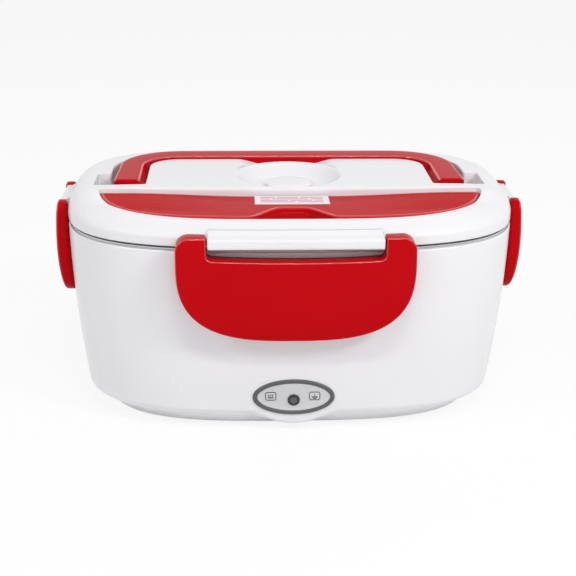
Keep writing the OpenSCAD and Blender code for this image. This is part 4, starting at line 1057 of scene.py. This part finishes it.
def label_rules():
    """Plain rules of uneven length on the label"""
    rows = [(-31.4, (-15.6, -8.4, -7.0, 3.2, 4.6, 15.8)), (-34.2, (-15.6, -11.0, -9.6, 8.4, 9.8, 15.8)),
            (-37.0, (-15.6, -2.0, -0.6, 10.2, 11.6, 15.8)), (-39.8, (-15.6, 1.6, 3.0, 15.8))]
    bars = [(x0, x1, y, y + 1.2) for y, breaks in rows for x0, x1 in zip(breaks[::2], breaks[1::2])]
    return flat_bars(bars, 0.1, 0.23)


def plug():
    """Steam plug: a low dome with a soft rim, its stem and a foot that keeps it in the lid"""
    cap = 108.6
    profile = [(0.01, 88.6), (4.0, 88.6), (5.7, 90.3), (5.9, 90.55), (4.0, 90.6), (4.0, cap - 0.1),
               (11.0, cap - 0.1), (11.9, cap + 0.15), (12.25, cap + 0.6), (12.2, cap + 1.0),
               (11.8, cap + 1.35), (10.8, cap + 1.7), (8.5, cap + 2.05), (5.5, cap + 2.28),
               (2.5, cap + 2.38), (0.01, cap + 2.4)]
    return Shape().turned(profile, (0, DISH_Y, 0), 96)


def lid_inner():
    """Inner panel of the lid: a flat plate with a vent hole, and the lipped wall of the gasket"""
    low, high = 98.9, 100.9
    rings = ring_stack([(2.6, high), (2.5, high - 0.2), (2.5, low + 0.2), (2.7, low), (10.2, low),
                        (10.4, low - 0.2), (10.4, 93.9), (8.4, 93.6), (8.1, 93.3), (8.1, 92.3),
                        (8.4, 92.0), (12.1, 92.0), (12.4, 92.3), (12.4, low - 0.6), (13.0, low)])
    hole = circle(VENT_HOLE_R, 64, (0, DISH_Y))
    shape = Shape().loft(rings)
    shape.strip(rings[-1], level(hole, low))
    shape.loft([level(hole, low), level(hole, high)])
    return shape.strip(rings[0], level(hole, high))


def gasket():
    """Silicone ring with two soft lips that press on the container"""
    profile = [(10.35, 93.7), (10.35, 96.5), (9.9, 96.6), (9.3, 96.5), (8.4, 96.55), (8.12, 96.3),
               (8.12, 95.9), (8.7, 95.6), (8.7, 94.9), (8.12, 94.5), (8.12, 94.0), (8.5, 93.68)]
    return Shape().loft(ring_stack(profile), closed=True)


# Latches

LATCH_MID, LATCH_BOW, LATCH_Z, TIP_Z = 86.0, 200.0, 54.0, 60
LATCH_WIDE, LATCH_POWER, GAP_Z, GAP_SAG, SKIN = 95.0, 2.85, 95.2, 0.9, 1.7


def latch_face(z, reach):
    """Outward distance of the latch's face: a wide arc about its widest point, and a rounder lower tip"""
    tip = np.maximum(0, TIP_Z - z) ** 2 / 70
    return reach - LATCH_BOW + np.sqrt(LATCH_BOW ** 2 - (z - LATCH_MID) ** 2) - tip


def latch_back(along, z, side):
    """Inner side of a latch: clear of the lid beside the ears and close to the wall below the rim"""
    return 0.3 + 1.1 * smooth_step((z - 102.5) / 3.5) - body_sag(along, side) - taper(z)


def latch_line(w, ear):
    """Front view of a latch: round-topped ears, a notch for the bar, and a superellipse below"""
    half, inner = w / 2, w / 2 - ear
    outer_r, corner_r = min(6.5, ear * 0.62), 3
    turn = np.linspace(0, np.pi / 2, 70)
    curve = np.stack([half * np.cos(turn) ** (2 / LATCH_POWER),
                      LATCH_WIDE - (LATCH_WIDE - LATCH_Z) * np.sin(turn) ** (2 / LATCH_POWER)], -1)
    x = np.linspace(0, inner - corner_r, 24)[:-1]
    floor = np.stack([x, GAP_Z - GAP_SAG * (1 - (x / (inner - corner_r)) ** 2)], -1)
    right = np.vstack([floor, arc((inner - corner_r, GAP_Z + corner_r), corner_r, -90, 0, 10),
                       arc((inner + 0.9, HINGE_Z + 1.5), 0.9, 180, 90, 5),
                       arc((half - outer_r, HINGE_Z + 2.4 - outer_r), outer_r, 90, 0, 14), curve])
    left = mirrored(right)
    return even_line(ccw(np.vstack([right, left[np.abs(left[:, 0]) > 1e-6]])), 1.2)


def latch(side, w, ear, reach):
    """Latch: a bowed face over its front view with a round edge, a back that follows the wall, a hollow
    under the skin, the hook that snaps under the ledge, and the two hinge pins"""
    line = latch_line(w, ear)
    soft, flange = 0.8, 2.0
    insets = [*(soft * (1 - np.cos(np.radians([14, 28, 42, 56, 72, 90])))), 1.3]

    def face(along, z):
        deep = -signed_distance(np.stack([along, z], -1), line)
        return latch_face(z, reach) - round_fall(deep, soft)

    def put(points):
        return on_side(points, side)

    def stand(flat, out):
        return put(np.column_stack([flat[:, 0], out, flat[:, 1]]))

    def back(flat):
        return stand(flat, latch_back(*flat.T, side))

    def under_skin(flat):
        return stand(flat, latch_face(flat[:, 1], reach) - SKIN)

    plan, triangles = relief(line, [clean_offset(line, -d) for d in insets], 2.4, 0.8)
    slopes = slope_normals(face, *plan.T, 1.6, 0.03)
    normals = put(slopes[:, [0, 2, 1]]) - put(np.zeros((1, 3)))
    # Faces near the rounded rim are marked for the second material, a painted highlight
    marks = (signed_distance(plan[triangles].mean(1), line) > -soft * 0.6).astype(int)
    shape = Shape().add(stand(plan, face(*plan.T)), triangles, normals, marks)
    front_edge, back_edge = stand(line, latch_face(line[:, 1], reach) - soft), back(line)
    shape.loft([front_edge, (front_edge + back_edge) / 2, back_edge])
    hollow = clean_offset(line, -flange)
    hollow = even_line(ccw(hollow[hollow[:, 1] < GAP_Z - flange + 0.2]), 2.0)
    plan, triangles = relief(line, [], 3.0, 1.0, [hollow])
    shape.add(back(plan), triangles)
    shape.loft([back(hollow), under_skin(hollow)])
    plan, triangles = relief(hollow, [], 4.0, 1.2)
    shape.add(under_skin(plan), triangles)
    shape.box((-w / 4, 0.65, 83.2), (w / 4, reach - SKIN + 0.4, 85.5), 0.35, put)
    for end in (-1, 1):
        shape.cross_pin(end, w / 2 - ear - 3.2, (pin_axis(reach), HINGE_Z),
                        [(0.01, 0), (1.1, 0), (1.28, 0.25), (1.28, 6), (0.01, 6)], 32, put)
    return shape


# Pieces

piece("shell", base_shell(), "base", WHITE, ["base_shell"])
piece("bottom", bottom_cover(), "base", PALE_PAINTED_LIGHT, ["bottom_cover"])
piece("bottom_screws", screws(), "base", SCREW, ["cover_screws"])
piece("screw_crosses", screw_slots(), "base", BLACK)
piece("feet", feet(), "base", RUBBER, ["rubber_feet"])
piece("well", well(), "base", BUCKET, ["inner_bucket"])
piece("warming_plate", heating_plate(), "base", PLATE, ["heating_plate"])
piece("panel_frame", bezel(), "base", DARK, ["lamp_bezel"])
piece("panel_face", panel_plate(), "base", SILVER, ["lamp_plate"])
piece("panel_lens", lens_ring(), "base", BLACK, ["lamp_lens"])
piece("panel_pupil", lens_middle(), "base", SMOKE)
piece("panel_marks", panel_marks(), "base", BLACK)
piece("inlet", socket(), "base", BLACK, ["inlet_socket"])
piece("container", container(), "liner", STEEL, ["steel_liner"])
piece("lid", lid_shell(), "lid", WHITE, ["lid_shell"])
piece("lid_panel", lid_inner(), "lid", BUCKET, ["lid_inner"])
piece("lid_ring", gasket(), "lid", SILICONE, ["lid_gasket"])
piece("steam_plug", plug(), "vent", WHITE, ["vent_plug"])
piece("grip", handle(), "handle", RED, ["carry_handle"], RED_PAINTED_HIGHLIGHT)
piece("spoon_lid_top", spoon_cover(), "spoon_lid", RED, ["spoon_cover"], RED_PAINTED_HIGHLIGHT)
piece("spoon_label", label(), "spoon_lid", PAPER)
piece("spoon_print", label_rules(), "spoon_lid", PRINT)
for side, (width, ear, reach, *_) in LATCHES.items():
    piece("clip_" + side, latch(side, width, ear, reach), side + "_latch", RED,
          ["latch_" + side], RED_PAINTED_HIGHLIGHT)


# Stage, light and camera

TABLE, FLOOR_WHITE, WORLD_LIGHT = 6.0, 0.85, 0.53


def seen_ray(tree):
    """1 for a ray from the camera, a reflection or a clear material, else 0"""
    path = tree.nodes.new("ShaderNodeLightPath")
    total = path.outputs["Is Camera Ray"]
    for key in ("Is Glossy Ray", "Is Transmission Ray"):
        join = tree.nodes.new("ShaderNodeMath")
        join.operation = "MAXIMUM"
        tree.links.new(total, join.inputs[0])
        tree.links.new(path.outputs[key], join.inputs[1])
        total = join.outputs[0]
    return total


def stage():
    """Large floor that looks white to the camera and keeps a soft shadow; the world is white to the
    camera and dimmer as a light"""
    mesh = bpy.data.meshes.new("table")
    mesh.from_pydata([(-TABLE, -TABLE, 0), (TABLE, -TABLE, 0), (TABLE, TABLE, 0), (-TABLE, TABLE, 0)], [],
                     [(0, 1, 2, 3)])
    floor = bpy.data.objects.new("table", mesh)
    bpy.context.scene.collection.objects.link(floor)
    made, tree, main = shader("pale_table", (0.9, 0.9, 0.9), 0.7, Specular_IOR_Level=0.1)
    tint(tree, main, noise(tree, 3), (0.895, 0.895, 0.9), (0.905, 0.905, 0.91))
    paper = tree.nodes.new("ShaderNodeEmission")
    mixed = tree.nodes.new("ShaderNodeMixShader")
    tree.links.new(between(tree, seen_ray(tree), 0, FLOOR_WHITE), mixed.inputs["Fac"])
    tree.links.new(main.outputs["BSDF"], mixed.inputs[1])
    tree.links.new(paper.outputs["Emission"], mixed.inputs[2])
    tree.links.new(mixed.outputs["Shader"], tree.nodes["Material Output"].inputs["Surface"])
    mesh.materials.append(made)
    world = bpy.data.worlds.new("studio")
    bpy.context.scene.world = world
    world.use_nodes = True
    tree = world.node_tree
    shine = tree.nodes["Background"]
    shine.inputs["Color"].default_value = (1, 1, 1, 1)
    tree.links.new(between(tree, seen_ray(tree), WORLD_LIGHT, 1), shine.inputs["Strength"])


def lamp(name, place, target, size, power):
    """Soft rectangular lamp that looks at a point"""
    data = bpy.data.lights.new(name, "AREA")
    data.shape = "RECTANGLE"
    data.size, data.size_y = size
    data.energy = power
    made = bpy.data.objects.new(name, data)
    made.location = place
    made.rotation_euler = (Vector(target) - Vector(place)).to_track_quat("-Z", "Y").to_euler()
    bpy.context.scene.collection.objects.link(made)


def camera():
    """Camera found from the photograph: distance, elevation, a small turn and a small roll"""
    distance, elevation, turn, roll = 0.70526, math.radians(18.73), math.radians(2.49), math.radians(0.44)
    c, s = math.cos(turn), math.sin(turn)
    ahead = Vector((s * math.cos(elevation), c * math.cos(elevation), -math.sin(elevation)))
    right = Vector((c, -s, 0))
    above = Vector((s * math.sin(elevation), c * math.sin(elevation), math.cos(elevation)))
    right, above = (right * math.cos(roll) + above * math.sin(roll),
                    above * math.cos(roll) - right * math.sin(roll))
    data = bpy.data.cameras.new("camera")
    data.sensor_width, data.lens = 36, 81.38
    data.shift_y = -6.71 / 576
    data.clip_start, data.clip_end = 0.01, 50
    made = bpy.data.objects.new("camera", data)
    place = Vector((0, 0, 0.055)) - ahead * distance
    made.matrix_world = Matrix(((right.x, above.x, -ahead.x, place.x),
                                (right.y, above.y, -ahead.y, place.y),
                                (right.z, above.z, -ahead.z, place.z), (0, 0, 0, 1)))
    bpy.context.scene.collection.objects.link(made)
    bpy.context.scene.camera = made


stage()
lamp("key", (0.65, -0.65, 0.75), (0, 0, 0.06), (0.2, 0.2), 4.4)
lamp("fill", (-0.8, -0.5, 0.7), (0, 0, 0.06), (0.2, 0.2), 2.1)
lamp("edge", (0.03, -0.66, 1.0), (0, 0, 0.09), (0.36, 0.05), 2.6)
lamp("back", (0.1, 0.9, 1.0), (0, 0, 0.08), (0.9, 0.3), 1.0)
camera()

bpy.context.scene.view_settings.view_transform = "Standard"
